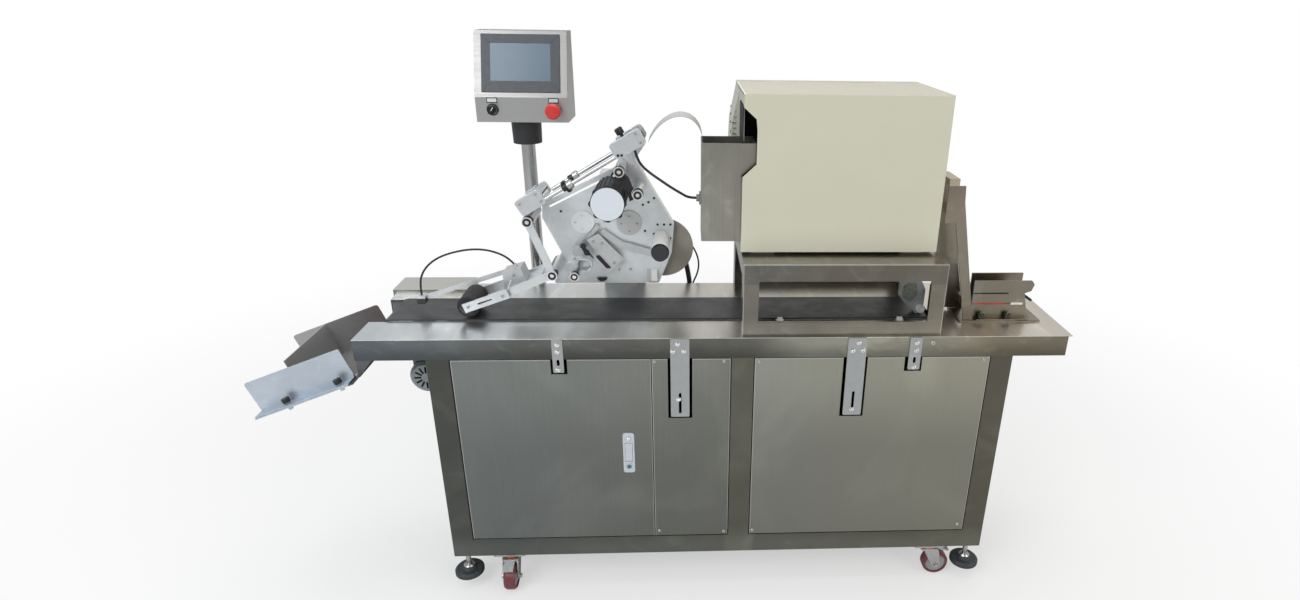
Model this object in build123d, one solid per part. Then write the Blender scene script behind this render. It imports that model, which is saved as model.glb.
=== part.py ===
from build123d import *
from math import atan2, cos, degrees, hypot, radians, sin, tan
import os

# Labelling machine for flat cards: cabinet on casters, long belt table, labelling head,
# label printer on a stand, friction feeder on the right and a sloping tray on the left.
# Working axes: X along the belt from the table's left end, Y back from the front of the
# apron, Z up from the floor. The finished nodes are moved to the machine's bottom centre.

# Table
table_height = 777.0
table_length = 1800.0
table_depth = 392.0
table_sheet = 2.0
table_lip = 10.0
apron_height = 56.0

# Cabinet frame
frame_left = 171.0
frame_right = 1663.0
frame_bottom = 110.0
tube = 57.0
mid_post_left = 934.5
stile_left = 716.0
stile_width = 30.0
side_rail_height = 28.0
panel_gap = 2.5
panel_sheet = 2.0
panel_return = 20.0
skin = 3.0

# Door and its lock
door_right = 729.0
door_notch_gap = 7.0
lock_left = 651.0
lock_width = 30.0
lock_low = -395.0
lock_high = -273.0
lever_inset = 5.0
lever_thick = 6.0
lever_clear = 0.7
lever_pin = 1.5
lock_proud = 3.0

# Hanging brackets on the apron: left edge, width, drop below the table top
short_brackets = ((485.0, 27.0, 92.0), (1388.0, 31.0, 91.0))
long_brackets = ((779.0, 48.0, 223.0), (1229.0, 48.0, 223.0))
bracket_thick = 4.0

# Belt
belt_left = 29.0
belt_right = 1480.0
belt_front = 115.0
belt_width = 148.0
belt_rise = 5.0
belt_thick = 3.0
belt_loop = 48.0
belt_side_gap = 3.0
bed_plate = 4.0
bed_inset = 4.0
cross_bars = (190.0, 520.0, 880.0, 1240.0)
cross_bar_width = 20.0

# Casters and levelling feet
caster_left = 322.0
caster_right = 1520.0
caster_inset = 28.5
caster_trail = 27.0
wheel_radius = 37.5
wheel_width = 34.0
fork_gap = 2.0
fork_sheet = 3.5
caster_plate = 5.0
race_height = 9.0
race_radius = 21.0
axle_radius = 5.0
pin_fit = 0.05
foot_inset = 27.5
foot_radius = 40.0
foot_clear = 36.0
foot_stem_radius = 7.0

# Gear motor under the left end
motor_x = 143.0
motor_z = -139.0
motor_front = 66.0
motor_radius = 44.0
motor_can = 130.0

# Low cover on the table behind the belt's left end
cover_length = 208.0
cover_height = 20.0
cover_front = 292.0

# Output tray
tray_slope = 21.0
tray_length = 270.0
tray_right = 2.0
tray_floor_top = -100.0
tray_wall = 84.0
tray_rear_wall = 95.0
tray_sheet = 3.0
tray_inner = 264.0
tray_flange = 34.0
tray_stop_at = 100.0
tray_end_gap = 7.0
tray_corner = 7.0
tray_travel = 25.0
tray_clear = 5.5
tray_knobs = (-42.0, -186.0)

# Labelling head, heights above the table top
head_front = 115.0
head_plate_front = 235.0
head_plate_thick = 12.0
head_slope = 30.8
roller_start = 125.0
roller_gap = 2.0
shaft_radius = 5.0
rod_radius = 5.0
rod_drop = 12.0
lower_block = (437.0, 315.0)
upper_block = (680.0, 460.0)
drive_centre = (627.0, 316.0)
drive_radius = 43.0
disc_radius = 41.0
press_centre = (256.0, 39.0)
press_radius = 28.5
press_end = 208.0
motor_centre = (753.5, 186.0)
reel_centre = (757.0, 156.0)
reel_radius = 82.0

# Column behind the table that holds the head
column_left = 578.0
column_right = 698.0
column_gap = 2.0
column_depth = 60.0
column_top = 330.0
mount_drop = 60.0

# Screen box on its post
post_x = 380.0
post_gap = 33.0
post_radius = 19.0
collar_top = 473.0
collar_low = 409.0
collar_radius = 41.0
screen_left = 265.0
screen_width = 242.0
screen_overhang = 70.0
screen_depth = 132.0
screen_low = 474.0
screen_chin = 65.0
screen_face = 164.0
screen_lean = 57.0
knob_rise = 33.0
selector_x = 309.0
stop_x = 470.0
stop_radius = 20.0
stop_travel = 4.0
guard_depth = 6.0

# Printer on its stand
stand_left = 960.0
stand_length = 508.0
stand_front = 10.0
stand_height = 190.0
stand_sheet = 3.0
printer_left = 957.0
printer_length = 499.0
printer_front = 85.0
printer_back = 407.0
printer_low = 198.0
printer_top = 585.0
cover_sheet = 3.0
cover_gap = 5.0
cover_hinge = 372.0
knuckle_radius = 3.0
hinge_pin = 1.5
knuckle_gap = 0.6
hinge_places = (1035.0, 1330.0)
hinge_length = 60.0

# Label bin
bin_left = 858.0
bin_front = 100.0
bin_back = 203.0
bin_top = 467.0
bin_low = 222.0
bin_sheet = 2.0

# Feeder
feeder_left = 1472.0
feeder_front = 95.0
feeder_plate = 4.0
feeder_width = 90.0
feeder_base = 4.0
guide_front = 108.0
guide_rear = 175.0

# Cords of the machine: route points in X and height above the table top
sensor_y = 172.0
sensor_route = ((122, 52), (122, 84), (131, 112), (152, 138), (183, 158), (223, 171), (265, 178),
                (305, 176), (340, 164), (360, 150), (370, 138))

bin_cable_y = 150.0
bin_route = ((695, 440), (701, 417), (714, 398), (733, 382), (757, 365), (783, 347), (808, 332),
             (827, 321), (846, 321))
conduit_gap = 32.0
conduit_route = ((698, 190), (727, 190), (756, 174), (781, 145), (801, 109), (815, 69), (825, 26),
                 (831, -18), (828, -61), (828, -100))
conduit_radius = 7.5
loop_gap = 52.0
loop_route = ((698, 152), (730, 152), (762, 150), (790, 141), (815, 125), (838, 101), (853, 72), (859, 40),
              (853, 9), (840, -18), (834, -48), (832, -76), (832, -100))

screen_break = screen_low + screen_chin
screen_top = screen_break + screen_face
knob_height = screen_low + knob_rise
belt_back = belt_front + belt_width
frame_front = table_sheet
frame_back = table_depth - table_sheet
post_y = table_depth + post_gap
screen_front = post_y - screen_overhang
conduit_y = table_depth + conduit_gap
loop_y = table_depth + loop_gap
top_z = table_height
nodes = {}


def up(z):
    """Height above the floor of a height given from the table top."""
    return top_z + z


def xz(y):
    """Plane whose sketch has X and Z, at the depth y, facing the front."""
    return Plane(origin=(0, y, 0), x_dir=(1, 0, 0), z_dir=(0, -1, 0))


def back(sketch, y0, y1):
    """Push a sketch in X and Z from the depth y0 back to the depth y1."""
    return extrude(xz(y0) * sketch, amount=-(y1 - y0))


def across(sketch, x0, x1):
    """Push a sketch in Y and Z from x0 to x1."""
    return extrude(Plane.YZ.offset(x0) * sketch, amount=x1 - x0)


def rise(sketch, z0, z1):
    """Raise a sketch in X and Y from the height z0 to the height z1."""
    return extrude(Plane.XY.offset(z0) * sketch, amount=z1 - z0)


def rect(x0, x1, y0, y1):
    """Rectangle between two corners."""
    return Pos((x0 + x1) / 2, (y0 + y1) / 2) * Rectangle(x1 - x0, y1 - y0)


def block(x0, x1, y0, y1, z0, z1):
    """Straight block between two corners."""
    return rise(rect(x0, x1, y0, y1), z0, z1)


def outline(points, lift=0.0):
    """Closed outline through points, raised by lift."""
    return make_face(Polyline([(x, z + lift) for x, z in points], close=True))


def rounded(sketch, radius):
    """The sketch with every corner rounded."""
    return fillet(sketch.vertices(), radius)


def disc(x, z, radius, y0, y1):
    """Round piece with its axis front to back, heights from the table top."""
    return back(Pos(x, up(z)) * Circle(radius), y0, y1)


def ring(x, z, radius, bore, y0, y1):
    """Round piece with a bore, axis front to back."""
    return back(Pos(x, up(z)) * (Circle(radius) - Circle(bore)), y0, y1)


def strip(a, b, width, y0, y1):
    """Flat bar with round ends between two points, heights from the table top."""
    length = hypot(b[0] - a[0], b[1] - a[1])
    middle = ((a[0] + b[0]) / 2, up((a[1] + b[1]) / 2))
    turn = degrees(atan2(b[1] - a[1], b[0] - a[0]))
    return back(Pos(*middle) * Rot(0, 0, turn) * SlotCenterToCenter(length, width), y0, y1)


def bar(a, b, width, y0, y1):
    """Flat bar with square ends between two points, heights from the table top."""
    length = hypot(b[0] - a[0], b[1] - a[1])
    middle = ((a[0] + b[0]) / 2, up((a[1] + b[1]) / 2))
    turn = degrees(atan2(b[1] - a[1], b[0] - a[0]))
    return back(Pos(*middle) * Rot(0, 0, turn) * Rectangle(length, width), y0, y1)


def post_lines():
    """Left edges of the posts along the machine, and the front faces of the two rows."""
    return (frame_left, mid_post_left, frame_right - tube), (frame_front, frame_back - tube)


def cabinet_frame():
    """The six square posts and the stile that the door shuts against."""
    lines_x, lines_y = post_lines()
    stile_y = frame_front + panel_return + panel_gap
    stile = rect(stile_left, stile_left + stile_width, stile_y, stile_y + stile_width)
    frame = rise(stile, frame_bottom + tube, top_z - apron_height)
    for x in lines_x:
        for y in lines_y:
            frame += block(x, x + tube, y, y + tube, frame_bottom, top_z - table_sheet)
    return frame


def long_rails():
    """Bottom and top rails between the posts, along the front and the back."""
    lines_x, lines_y = post_lines()
    heights = ((frame_bottom, frame_bottom + tube), (top_z - apron_height, top_z - table_sheet))
    rails = []
    for left, right in zip(lines_x, lines_x[1:]):
        for y in lines_y:
            rails += [block(left + tube, right, y, y + tube, *height) for height in heights]
    return Compound(children=rails)


def cross_rails():
    """Rails from front to back at both ends, the upper one below the belt's return run."""
    rail_top = up(belt_rise) - belt_loop - panel_gap
    heights = ((frame_bottom, frame_bottom + tube), (rail_top - side_rail_height, rail_top))
    rails = []
    for x in (frame_left, frame_right - tube):
        inner = (frame_front + tube, frame_back - tube)
        rails += [block(x, x + tube, *inner, *height) for height in heights]
    return Compound(children=rails)


def caster_plates():
    """Fixing plate and upper race of each caster, bored for the king pin."""
    plates = []
    race_low = frame_bottom - caster_plate - race_height
    for x, y in caster_places():
        plate = rise(Pos(x, y) * RectangleRounded(90, 57, 6), frame_bottom - caster_plate, frame_bottom)
        plate += rise(Pos(x, y) * Circle(race_radius), race_low, frame_bottom - caster_plate)
        kingpin = Pos(x, y) * Circle(axle_radius + pin_fit)
        plates.append(plate - rise(kingpin, race_low, frame_bottom - caster_plate))
    return Compound(children=plates)


def caster_places():
    """Swivel axes of the four casters, front left first."""
    ys = (frame_front + caster_inset, frame_back - caster_inset)
    return [(x, y) for y in ys for x in (caster_left, caster_right)]


def levelling_feet():
    """Rubber pad, stem and lock nut under each corner post, clear of the floor."""
    feet = []
    for x in (frame_left + foot_inset, frame_right - foot_inset):
        for y in (frame_front + foot_inset, frame_back - foot_inset):
            pad = rise(Pos(x, y) * Circle(foot_radius), foot_clear, foot_clear + 14)
            pad = chamfer(pad.edges().group_by(Axis.Z)[-1], 5)
            cup = Pos(x, y, foot_clear + 14) * Cone(22, 12, 12, align=(Align.CENTER, Align.CENTER, Align.MIN))
            stem = rise(Pos(x, y) * Circle(foot_stem_radius), foot_clear + 14, frame_bottom)
            nut = rise(Pos(x, y) * RegularPolygon(13, 6), frame_bottom - 12, frame_bottom)
            feet.append(pad + cup + stem + nut)
    return Compound(children=feet)


def caster_fork(x, y, turn):
    """Swivelling fork with its king pin and wheel axle; the wheel trails along X."""
    crown_top = frame_bottom - caster_plate - race_height - 0.4
    crown_low = crown_top - 6
    inner = wheel_width / 2 + fork_gap
    outer = inner + fork_sheet
    crown = rise(rect(-22, 30, -outer, outer), crown_low, crown_top)
    crown = fillet(crown.edges().filter_by(Axis.Z), 8)
    profile = outline([(-14, crown_low), (30, crown_low), (caster_trail + 11, wheel_radius),
                       (caster_trail + 6, wheel_radius - 11), (caster_trail - 8, wheel_radius - 10)])
    profile = rounded(profile, 4)
    cheeks = back(profile, -outer, -inner) + back(profile, inner, outer)
    pin = rise(Circle(axle_radius), crown_low, frame_bottom - caster_plate - 1)
    axle = back(Pos(caster_trail, wheel_radius) * Circle(axle_radius), -outer - 5, outer + 5)
    pedal = outline([(24, crown_low), (30, crown_top), (62, crown_top - 12), (62, crown_top - 16)])
    pedal = back(pedal, -14, 14)
    fork = crown + cheeks + pin + axle + pedal
    return Pos(x, y) * Rot(0, 0, turn) * fork


def caster_wheel(x, y, turn):
    """Wheel with a crowned tread, a recessed web on each side and a bored hub."""
    half = wheel_width / 2
    bore = axle_radius + pin_fit
    rim = wheel_radius - 8
    face = make_face(Polyline([(bore, -half), (14, -half), (14, -half + 5), (rim, -half + 5), (rim, -half + 1),
                               (wheel_radius - 4, -half + 1), (wheel_radius, -half + 7),
                               (wheel_radius, half - 7), (wheel_radius - 4, half - 1), (rim, half - 1),
                               (rim, half - 5), (14, half - 5), (14, half), (bore, half)], close=True))
    wheel = revolve(Plane.XZ * face, Axis.Z)
    wheel = Pos(caster_trail, 0, wheel_radius) * Rot(90, 0, 0) * wheel
    return Pos(x, y) * Rot(0, 0, turn) * wheel


def front_panel(x0, x1, notches=()):
    """Pan of folded sheet with a flat face, notched at its top edge for hanging brackets."""
    z0 = frame_bottom + tube + panel_gap
    z1 = top_z - apron_height - panel_gap
    face = rect(x0, x1, z0, z1)
    inside = rect(x0 + panel_sheet, x1 - panel_sheet, z0 + panel_sheet, z1 - panel_sheet)
    for left, width, drop in notches:
        cut = rect(left - door_notch_gap, left + width + door_notch_gap, up(-drop) - door_notch_gap, z1 + 1)
        cut_in = offset(cut, panel_sheet, kind=Kind.INTERSECTION)
        face -= cut
        inside -= cut_in
    deep = frame_front + panel_return
    return back(face, frame_front, deep) - back(inside, frame_front + panel_sheet, deep + 1)


def fixed_panels():
    """The two front panels that don't open."""
    middle = front_panel(door_right + panel_gap, mid_post_left - panel_gap, long_brackets[:1])
    right_notches = (long_brackets[1], short_brackets[1])
    right = front_panel(mid_post_left + tube + panel_gap, frame_right - tube - panel_gap, right_notches)
    return Compound(children=[middle, right])


def skin_panels():
    """Left, right, back and floor sheets of the cabinet, between its posts."""
    y0 = frame_front + tube
    y1 = frame_back - tube
    z0 = frame_bottom + tube
    z1 = up(belt_rise) - belt_loop - panel_gap - side_rail_height
    left_in = frame_left + tube
    right_in = frame_right - tube
    left = block(left_in - skin, left_in, y0, y1, z0, z1)
    right = block(frame_right - skin, frame_right, y0, y1, z0, z1)
    ring_top = top_z - apron_height
    rear_a = block(left_in, mid_post_left, frame_back - skin, frame_back, z0, ring_top)
    rear_b = block(mid_post_left + tube, right_in, frame_back - skin, frame_back, z0, ring_top)
    floor = block(left_in, right_in, y0, y1, z0 - tube / 2, z0 - tube / 2 + skin)
    return Compound(children=[left, right, rear_a, rear_b, floor])


def lock_face(inset):
    """Outline of the lock's housing on the door, drawn inwards by inset."""
    face = rect(lock_left + inset, lock_left + lock_width - inset, up(lock_low) + inset, up(lock_high) - inset)
    return rounded(face, 7 - inset)


def cabinet_door():
    """Door pan with the cut-out for its lock."""
    left = frame_left + tube + panel_gap
    door = front_panel(left, door_right, short_brackets[:1])
    return door - back(lock_face(2.5), frame_front - 1, frame_front + panel_sheet + 1)


def lever_place():
    """Pivot of the lock lever: depth and height, with the top of its recess."""
    low = up(lock_low) + 34 + lever_clear + lever_thick / 2
    return frame_front - lock_proud + lever_thick / 2 - 1, low, up(lock_high) - 30


def lock_housing():
    """Lock housing seated in the door: flange, recess for the lever, key cylinder and catch button."""
    front = frame_front - lock_proud
    rear = frame_front + panel_return
    housing = back(lock_face(0), front, frame_front) + back(lock_face(2.7), frame_front, rear)
    y, low, high = lever_place()
    recess = rect(lock_left + lever_inset, lock_left + lock_width - lever_inset,
                  low - lever_thick / 2 - lever_clear, high)
    housing -= back(recess, front - 1, frame_front + 12)
    middle = lock_left + lock_width / 2
    housing += disc(middle, lock_high - 17, 7, front - 2, front)
    housing += disc(middle, lock_low + 20, 9, front - 2, front)
    pin = across(Pos(y, low) * Circle(lever_pin), lock_left + lever_inset, lock_left + lock_width - lever_inset)
    return housing + pin


def lock_lever():
    """Paddle that lies in the lock's recess and lifts out about the pin at its lower end."""
    y, low, high = lever_place()
    half = lever_thick / 2
    side = rect(y - half, y + half, low, high - lever_clear) + Pos(y, low) * Circle(half)
    side -= Pos(y, low) * Circle(lever_pin + pin_fit)
    return across(side, lock_left + lever_inset + lever_clear, lock_left + lock_width - lever_inset - lever_clear)


def table_top():
    """Folded stainless top: open under the belt, with an apron all round."""
    whole = block(0, table_length, 0, table_depth, top_z - apron_height, top_z)
    under = block(table_sheet, table_length - table_sheet, table_sheet, table_depth - table_sheet,
                  top_z - apron_height - 1, top_z - table_sheet)
    top = whole - under
    top += block(table_length, table_length + table_lip, 0, table_depth, top_z - table_sheet, top_z)
    slot = rect(-1, belt_right + belt_side_gap, belt_front - belt_side_gap, belt_back + belt_side_gap)
    return top - rise(slot, top_z - apron_height - 1, top_z + 1)


def belt_centres():
    """Middle X, length between roller centres and middle Z of the belt loop."""
    middle = (belt_left + belt_right) / 2
    length = belt_right - belt_left - belt_loop
    return middle, length, up(belt_rise) - belt_loop / 2


def conveyor_belt():
    """Closed loop of flat belt round its two end rollers."""
    x, length, z = belt_centres()
    loop = SlotCenterToCenter(length, belt_loop) - SlotCenterToCenter(length, belt_loop - 2 * belt_thick)
    return back(Pos(x, z) * loop, belt_front, belt_back)


def belt_bed():
    """Slider bed under the carrying run: plate, side cheeks, end rollers and cross bars."""
    x, length, z = belt_centres()
    inner = belt_loop - 2 * belt_thick
    front = belt_front + bed_inset
    rear = belt_back - bed_inset
    cheek = Pos(x, z) * SlotCenterToCenter(length, inner - 2)
    bed = back(cheek, front, front + bed_plate) + back(cheek, rear - bed_plate, rear)
    plate_top = z + inner / 2
    bed += block(x - length / 2, x + length / 2, front, rear, plate_top - bed_plate, plate_top)
    for end in (-1, 1):
        roller = Pos(x + end * length / 2, z) * Circle(inner / 2 - 0.6)
        bed += back(roller, front, rear)
    for left in cross_bars:
        bed += block(left, left + cross_bar_width, frame_front + tube, frame_back - tube, z - 8, z + 6)
    return bed


def hanging_brackets():
    """Slotted adjusting strips bolted on the apron and hanging over the panel notches."""
    parts = []
    for left, width, drop in short_brackets + long_brackets:
        face = rounded(rect(left, left + width, up(-drop), up(-1)), 3)
        middle = left + width / 2
        long_slot = 53 if drop > 150 else 10
        slot_mid = -183 if drop > 150 else -64
        face -= Pos(middle, up(slot_mid)) * Rot(0, 0, 90) * SlotCenterToCenter(long_slot, 7)
        parts.append(back(face, -bracket_thick, 0))
    return Compound(children=parts)


def gear_motor():
    """Motor with its fan cover to the front, gearbox behind, hung from the table by a plate."""
    end = motor_front + motor_can
    cowl = disc(motor_x, motor_z, motor_radius, motor_front, motor_front + 26)
    cowl = chamfer(cowl.edges().group_by(Axis.Y)[0], 8)
    slots = Sketch()
    for i in range(12):
        slots += Rot(0, 0, 30 * i) * Pos(22, 0) * Rectangle(18, 5)
    cowl -= back(Pos(motor_x, up(motor_z)) * slots, motor_front - 1, motor_front + 3)
    ribs = Circle(motor_radius - 6)
    for i in range(20):
        ribs += Rot(0, 0, 18 * i) * Pos(motor_radius - 7, 0) * Rectangle(12, 2.4)
    can = back(Pos(motor_x, up(motor_z)) * ribs, motor_front + 26, end)
    box = Pos(motor_x, up(motor_z)) * RectangleRounded(86, 86, 6)
    gearbox = back(box, end, end + 52)
    shaft = disc(motor_x, motor_z + 14, 8, end + 52, end + 70)
    hanger = rect(motor_x - 40, motor_x + 20, up(motor_z), top_z - table_sheet)
    hanger = back(hanger, motor_front + 30, motor_front + 36)
    return cowl + can + gearbox + shaft + hanger


def rear_cover():
    """Low folded cover on the table behind the belt's left end."""
    whole = block(0, cover_length, cover_front, table_depth, top_z, top_z + cover_height)
    under = block(table_sheet, cover_length - table_sheet, cover_front + table_sheet,
                  table_depth - table_sheet, top_z - 1, top_z + cover_height - table_sheet)
    return whole - under


def tray_place(sketch):
    """Put a sketch drawn along the chute (X down-slope to the left is negative) in its place."""
    return Pos(tray_right, up(tray_floor_top)) * Rot(0, 0, tray_slope) * sketch


def chute_height(x):
    """Height of the chute floor's top at x, from the table top."""
    return tray_floor_top + (x - tray_right) * tan(radians(tray_slope))


def tray_floor():
    """Chute plate, hung from the table's left end by an upright plate with two gussets."""
    front = -tray_flange - 2
    rear = tray_inner + tray_sheet + 2
    floor = back(tray_place(rect(-tray_length, 0, -tray_sheet, 0)), front, rear)
    for along in tray_knobs:
        slot = tray_place(Pos(along, 0) * Rectangle(7, 4 * tray_sheet))
        floor -= back(slot, knob_depth() - 4, knob_depth() + tray_travel + 4)
    low = up(tray_floor_top) - tray_sheet
    x0, x1 = table_sheet, table_sheet + tray_sheet
    floor += block(x0, x1, table_sheet + 1, rear, low, up(-apron_height - 2))
    hook = belt_front - belt_side_gap - table_sheet
    floor += block(x0, x1, table_sheet + 1, hook, up(-apron_height - 2), up(-14))
    gusset = outline([(x1, -20), (38, -20), (38, -apron_height - 2), (x1, tray_floor_top)], top_z)
    for y in (table_sheet + 1, hook - 3):
        floor += back(gusset, y, y + 3)
    return floor


def knob_depth():
    """Depth of the knob studs, in the middle of the sliding wall's flange."""
    return -tray_flange / 2


def tray_wall_face(length, height, short=0.0):
    """Side wall outline along the chute with rounded top corners."""
    face = rect(-length, -short, 0, height)
    return fillet(face.vertices().group_by(Axis.Y)[-1], tray_corner)


def tray_walls():
    """Fixed back wall, and the stop plate across the chute that clears the sliding wall."""
    face = tray_wall_face(tray_length, tray_rear_wall, tray_end_gap)
    rear = back(tray_place(face), tray_inner, tray_inner + tray_sheet)
    stop = rect(-tray_length + tray_stop_at, -tray_length + tray_stop_at + tray_sheet, 0, tray_rear_wall)
    return rear + back(tray_place(stop), tray_sheet + tray_travel + tray_clear, tray_inner)


def tray_slide():
    """Front wall that slides across the chute on two knobs through its flange."""
    clear = 0.4
    face = tray_wall_face(tray_length, tray_wall, tray_end_gap)
    wall = back(tray_place(Pos(0, clear) * face), 0, tray_sheet)
    flange = rect(-tray_length, -tray_end_gap, clear, clear + tray_sheet)
    wall += back(tray_place(flange), -tray_flange, 0)
    for along in tray_knobs:
        stem = Plane.XY.offset(0) * Circle(2.7)
        knob = extrude(stem, amount=-14) + extrude(stem, amount=clear + tray_sheet + 8)
        grip = extrude(Plane.XY.offset(clear + tray_sheet + 3) * Circle(8), amount=13)
        nut = extrude(Plane.XY.offset(-tray_sheet - 5.4) * RegularPolygon(6, 6), amount=-5)
        knob += grip + nut
        place = Pos(tray_right, 0, up(tray_floor_top)) * Rot(0, -tray_slope, 0)
        wall += place * Pos(along, knob_depth(), 0) * knob
    return wall


def head_outline():
    """Outline of the labelling head's back plate, heights from the table top."""
    return [(462, 60), (462, 108), (485, 149), (440, 245), (443, 282), (419, 268), (408, 300), (446, 326),
            (470, 296), (648, 386), (640, 440), (700, 474), (716, 440), (690, 402), (788, 230), (781, 149),
            (745, 60)]


def head_plate():
    """Back plate of the labelling head with its web windows, hub discs and bored holes."""
    y0 = head_plate_front
    plate = back(rounded(outline(head_outline(), top_z), 4), y0, y0 + head_plate_thick)
    for x, z, r in ((546, 234, 30.6), (669, 231, 33.4)):
        plate += disc(x, z, r, y0 - 4, y0)
        for i in range(4):
            hole = (x + 0.62 * r * cos(radians(90 * i)), z + 0.62 * r * sin(radians(90 * i)))
            plate -= disc(*hole, 3.2, y0 - 5, y0 - 1)
    for x, z in ((490, 262), (706, 280), (721, 287), (736, 298), (744, 226), (761, 226), (778, 226),
                 (710, 208), (734, 200), (777, 188)):
        plate -= disc(x, z, 3.4, y0 - 1, y0 + head_plate_thick + 1)
    window = strip((462, 274), (600, 344), 7, y0 - 1, y0 + head_plate_thick + 1)
    return plate - window


def head_column():
    """Box column bolted behind the table, with the arm that carries the head plate."""
    front = table_depth + column_gap
    foot = block(column_left, column_right, frame_back, front + column_depth,
                 up(-apron_height - mount_drop), up(-apron_height))
    shaft = block(column_left, column_right, front, front + column_depth, up(-apron_height), up(column_top))
    arm_face = rounded(rect(column_left + 10, column_right - 10, up(210), up(290)), 8)
    arm = back(arm_face, head_plate_front + head_plate_thick, front)
    return foot + shaft + arm


def rod_blocks():
    """The two clamp blocks that hold the guide rods, seated on the plate's ears."""
    parts = []
    for (x, z), length, width in ((lower_block, 70, 42), (upper_block, 84, 44)):
        face = Pos(x, up(z)) * Rot(0, 0, head_slope) * RectangleRounded(length, width, 7)
        solid = back(face, head_front, head_plate_front)
        hollow = Pos(x, up(z)) * Rot(0, 0, head_slope) * RectangleRounded(length - 20, width - 12, 4)
        solid -= back(hollow, head_front + 14, head_plate_front - 14)
        parts.append(solid)
    start = Vector(bin_route[0][0], bin_cable_y, up(bin_route[0][1]))
    after = Vector(bin_route[1][0], bin_cable_y, up(bin_route[1][1]))
    sleeve = extrude(Plane(origin=start, z_dir=start - after) * Circle(6), amount=12)
    parts[-1] += sleeve
    return Compound(children=parts)


def rod_line():
    """Two ends of a guide rod, between the faces of the clamp blocks."""
    along = Vector(cos(radians(head_slope)), sin(radians(head_slope)))
    aside = Vector(sin(radians(head_slope)), -cos(radians(head_slope))) * rod_drop
    start = Vector(*lower_block) + along * 35 + aside
    span = (Vector(*upper_block) - Vector(*lower_block)).dot(along) - 35 - 42
    return start, start + along * span, span


def guide_rods():
    """Two round rods with clamped web guides between the blocks."""
    start, _, span = rod_line()
    parts = []
    for y in (head_front + 8, head_plate_front - 8):
        rod = extrude(Circle(rod_radius), amount=span)
        collar = Pos(0, 0, 66) * extrude(Circle(11), amount=14)
        pad = Pos(0, 0, 52) * extrude(Circle(9), amount=12)
        solid = rod + collar + pad
        turn = Rot(0, 90 - head_slope, 0)
        parts.append(Pos(start.X, y, up(start.Y)) * turn * solid)
    return Compound(children=parts)


roller_table = {
    "upper_roller": ((426.0, 267.0), 14.7, roller_start),
    "lower_roller": ((478.0, 126.0), 15.2, roller_start),
    "top_roller": ((655.0, 388.0), 13.8, 150.0),
    "right_roller": ((700.0, 333.0), 15.6, 139.0),
    "small_roller": ((534.0, 123.0), 11.4, roller_start),
}


def idler(name):
    """Idler roller bored for its shaft."""
    (x, z), radius, start = roller_table[name]
    return ring(x, z, radius, shaft_radius + pin_fit, start, head_plate_front - roller_gap)


def roller_shafts():
    """Fixed shafts of the idlers and the drive roller, each with its end collar."""
    parts = []
    for name, ((x, z), radius, start) in roller_table.items():
        shaft = disc(x, z, shaft_radius, start - 9, head_plate_front)
        cap = disc(x, z, min(radius, 13.0), start - 16, start - 9)
        parts.append(shaft + cap)
    parts.append(disc(*drive_centre, shaft_radius + 1, 108.0, head_plate_front))
    parts.append(disc(*reel_centre, shaft_radius + 1, head_plate_front + head_plate_thick, 262.0))
    return Compound(children=parts)


def link_bar():
    """Flat bar between the shafts of the upper and lower rollers."""
    start = roller_table["upper_roller"]
    end = roller_table["lower_roller"]
    bar = strip(start[0], end[0], 19, roller_start - 9, roller_start - 4)
    for centre in (start[0], end[0]):
        bar -= disc(*centre, shaft_radius, roller_start - 10, roller_start)
    return bar


def head_arms():
    """Small parts on the plate: tension motor, dancer arm, clamp bar and brake lever."""
    motor = disc(*motor_centre, 23.4, 118.0, head_plate_front)
    motor += disc(*motor_centre, 20.5, 106.0, 118.0)
    clamp = outline([(556, 190), (588, 207), (651, 139), (618, 104)], top_z)
    clamp = back(rounded(clamp, 3), 212.0, 220.0)
    clamp += disc(574, 186, 7, 220.0, head_plate_front) + disc(626, 126, 7, 220.0, head_plate_front)
    dancer = strip((601, 206), (645, 174), 17, 224.0, 230.0) + strip((645, 174), (742, 145), 18, 224.0, 230.0)
    dancer += disc(645, 174, 8, 230.0, head_plate_front)
    dancer += back(rect(713, 741, up(70), up(100)), 222.0, head_plate_front)
    lever = strip((584, 222), (532, 160), 10, 225.0, 230.0) + disc(584, 222, 7, 230.0, head_plate_front - 4)
    lever += disc(532, 160, 14, 205.0, 225.0)
    return Compound(children=[motor, clamp, dancer, lever])


def peel_unit():
    """Peel plate with its cheeks, and the press arm that holds the press roller's shaft."""
    low, high = (360.0, 75.0), (478.0, 126.0)
    cheeks = strip(low, high, 21.5, roller_start - 4, roller_start)
    cheeks -= disc(478, 126, shaft_radius, roller_start - 10, roller_start + 10)
    for y0 in (head_plate_front - 9,):
        far = strip(low, (440.0, 109.6), 18, y0, y0 + 5)
        foot = outline([(430, 98), (448, 106), (470, 96), (470, 72), (452, 72)], top_z)
        cheeks += far + back(foot, y0, head_plate_front)
    plate = strip(low, (440.0, 109.6), 5, roller_start, head_plate_front - 9)
    arm = bar((246.6, 36.4), (363.0, 77.8), 24.5, head_front - 6, head_front - 1)
    arm -= strip((284.9, 50.2), (319.0, 61.9), 5, head_front - 7, head_front)
    tie = disc(352.0, 73.0, 6, head_front - 1, roller_start)
    shaft = disc(*press_centre, shaft_radius, head_front - 1, press_end + 8)
    rear_arm = bar((246.6, 36.4), (363.0, 77.8), 24.5, press_end + 2, press_end + 7)
    rear_tie = disc(352.0, 73.0, 6, press_end + 7, head_plate_front - 4)
    unit = cheeks + plate + arm + tie + shaft + rear_arm + rear_tie
    return unit


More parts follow.
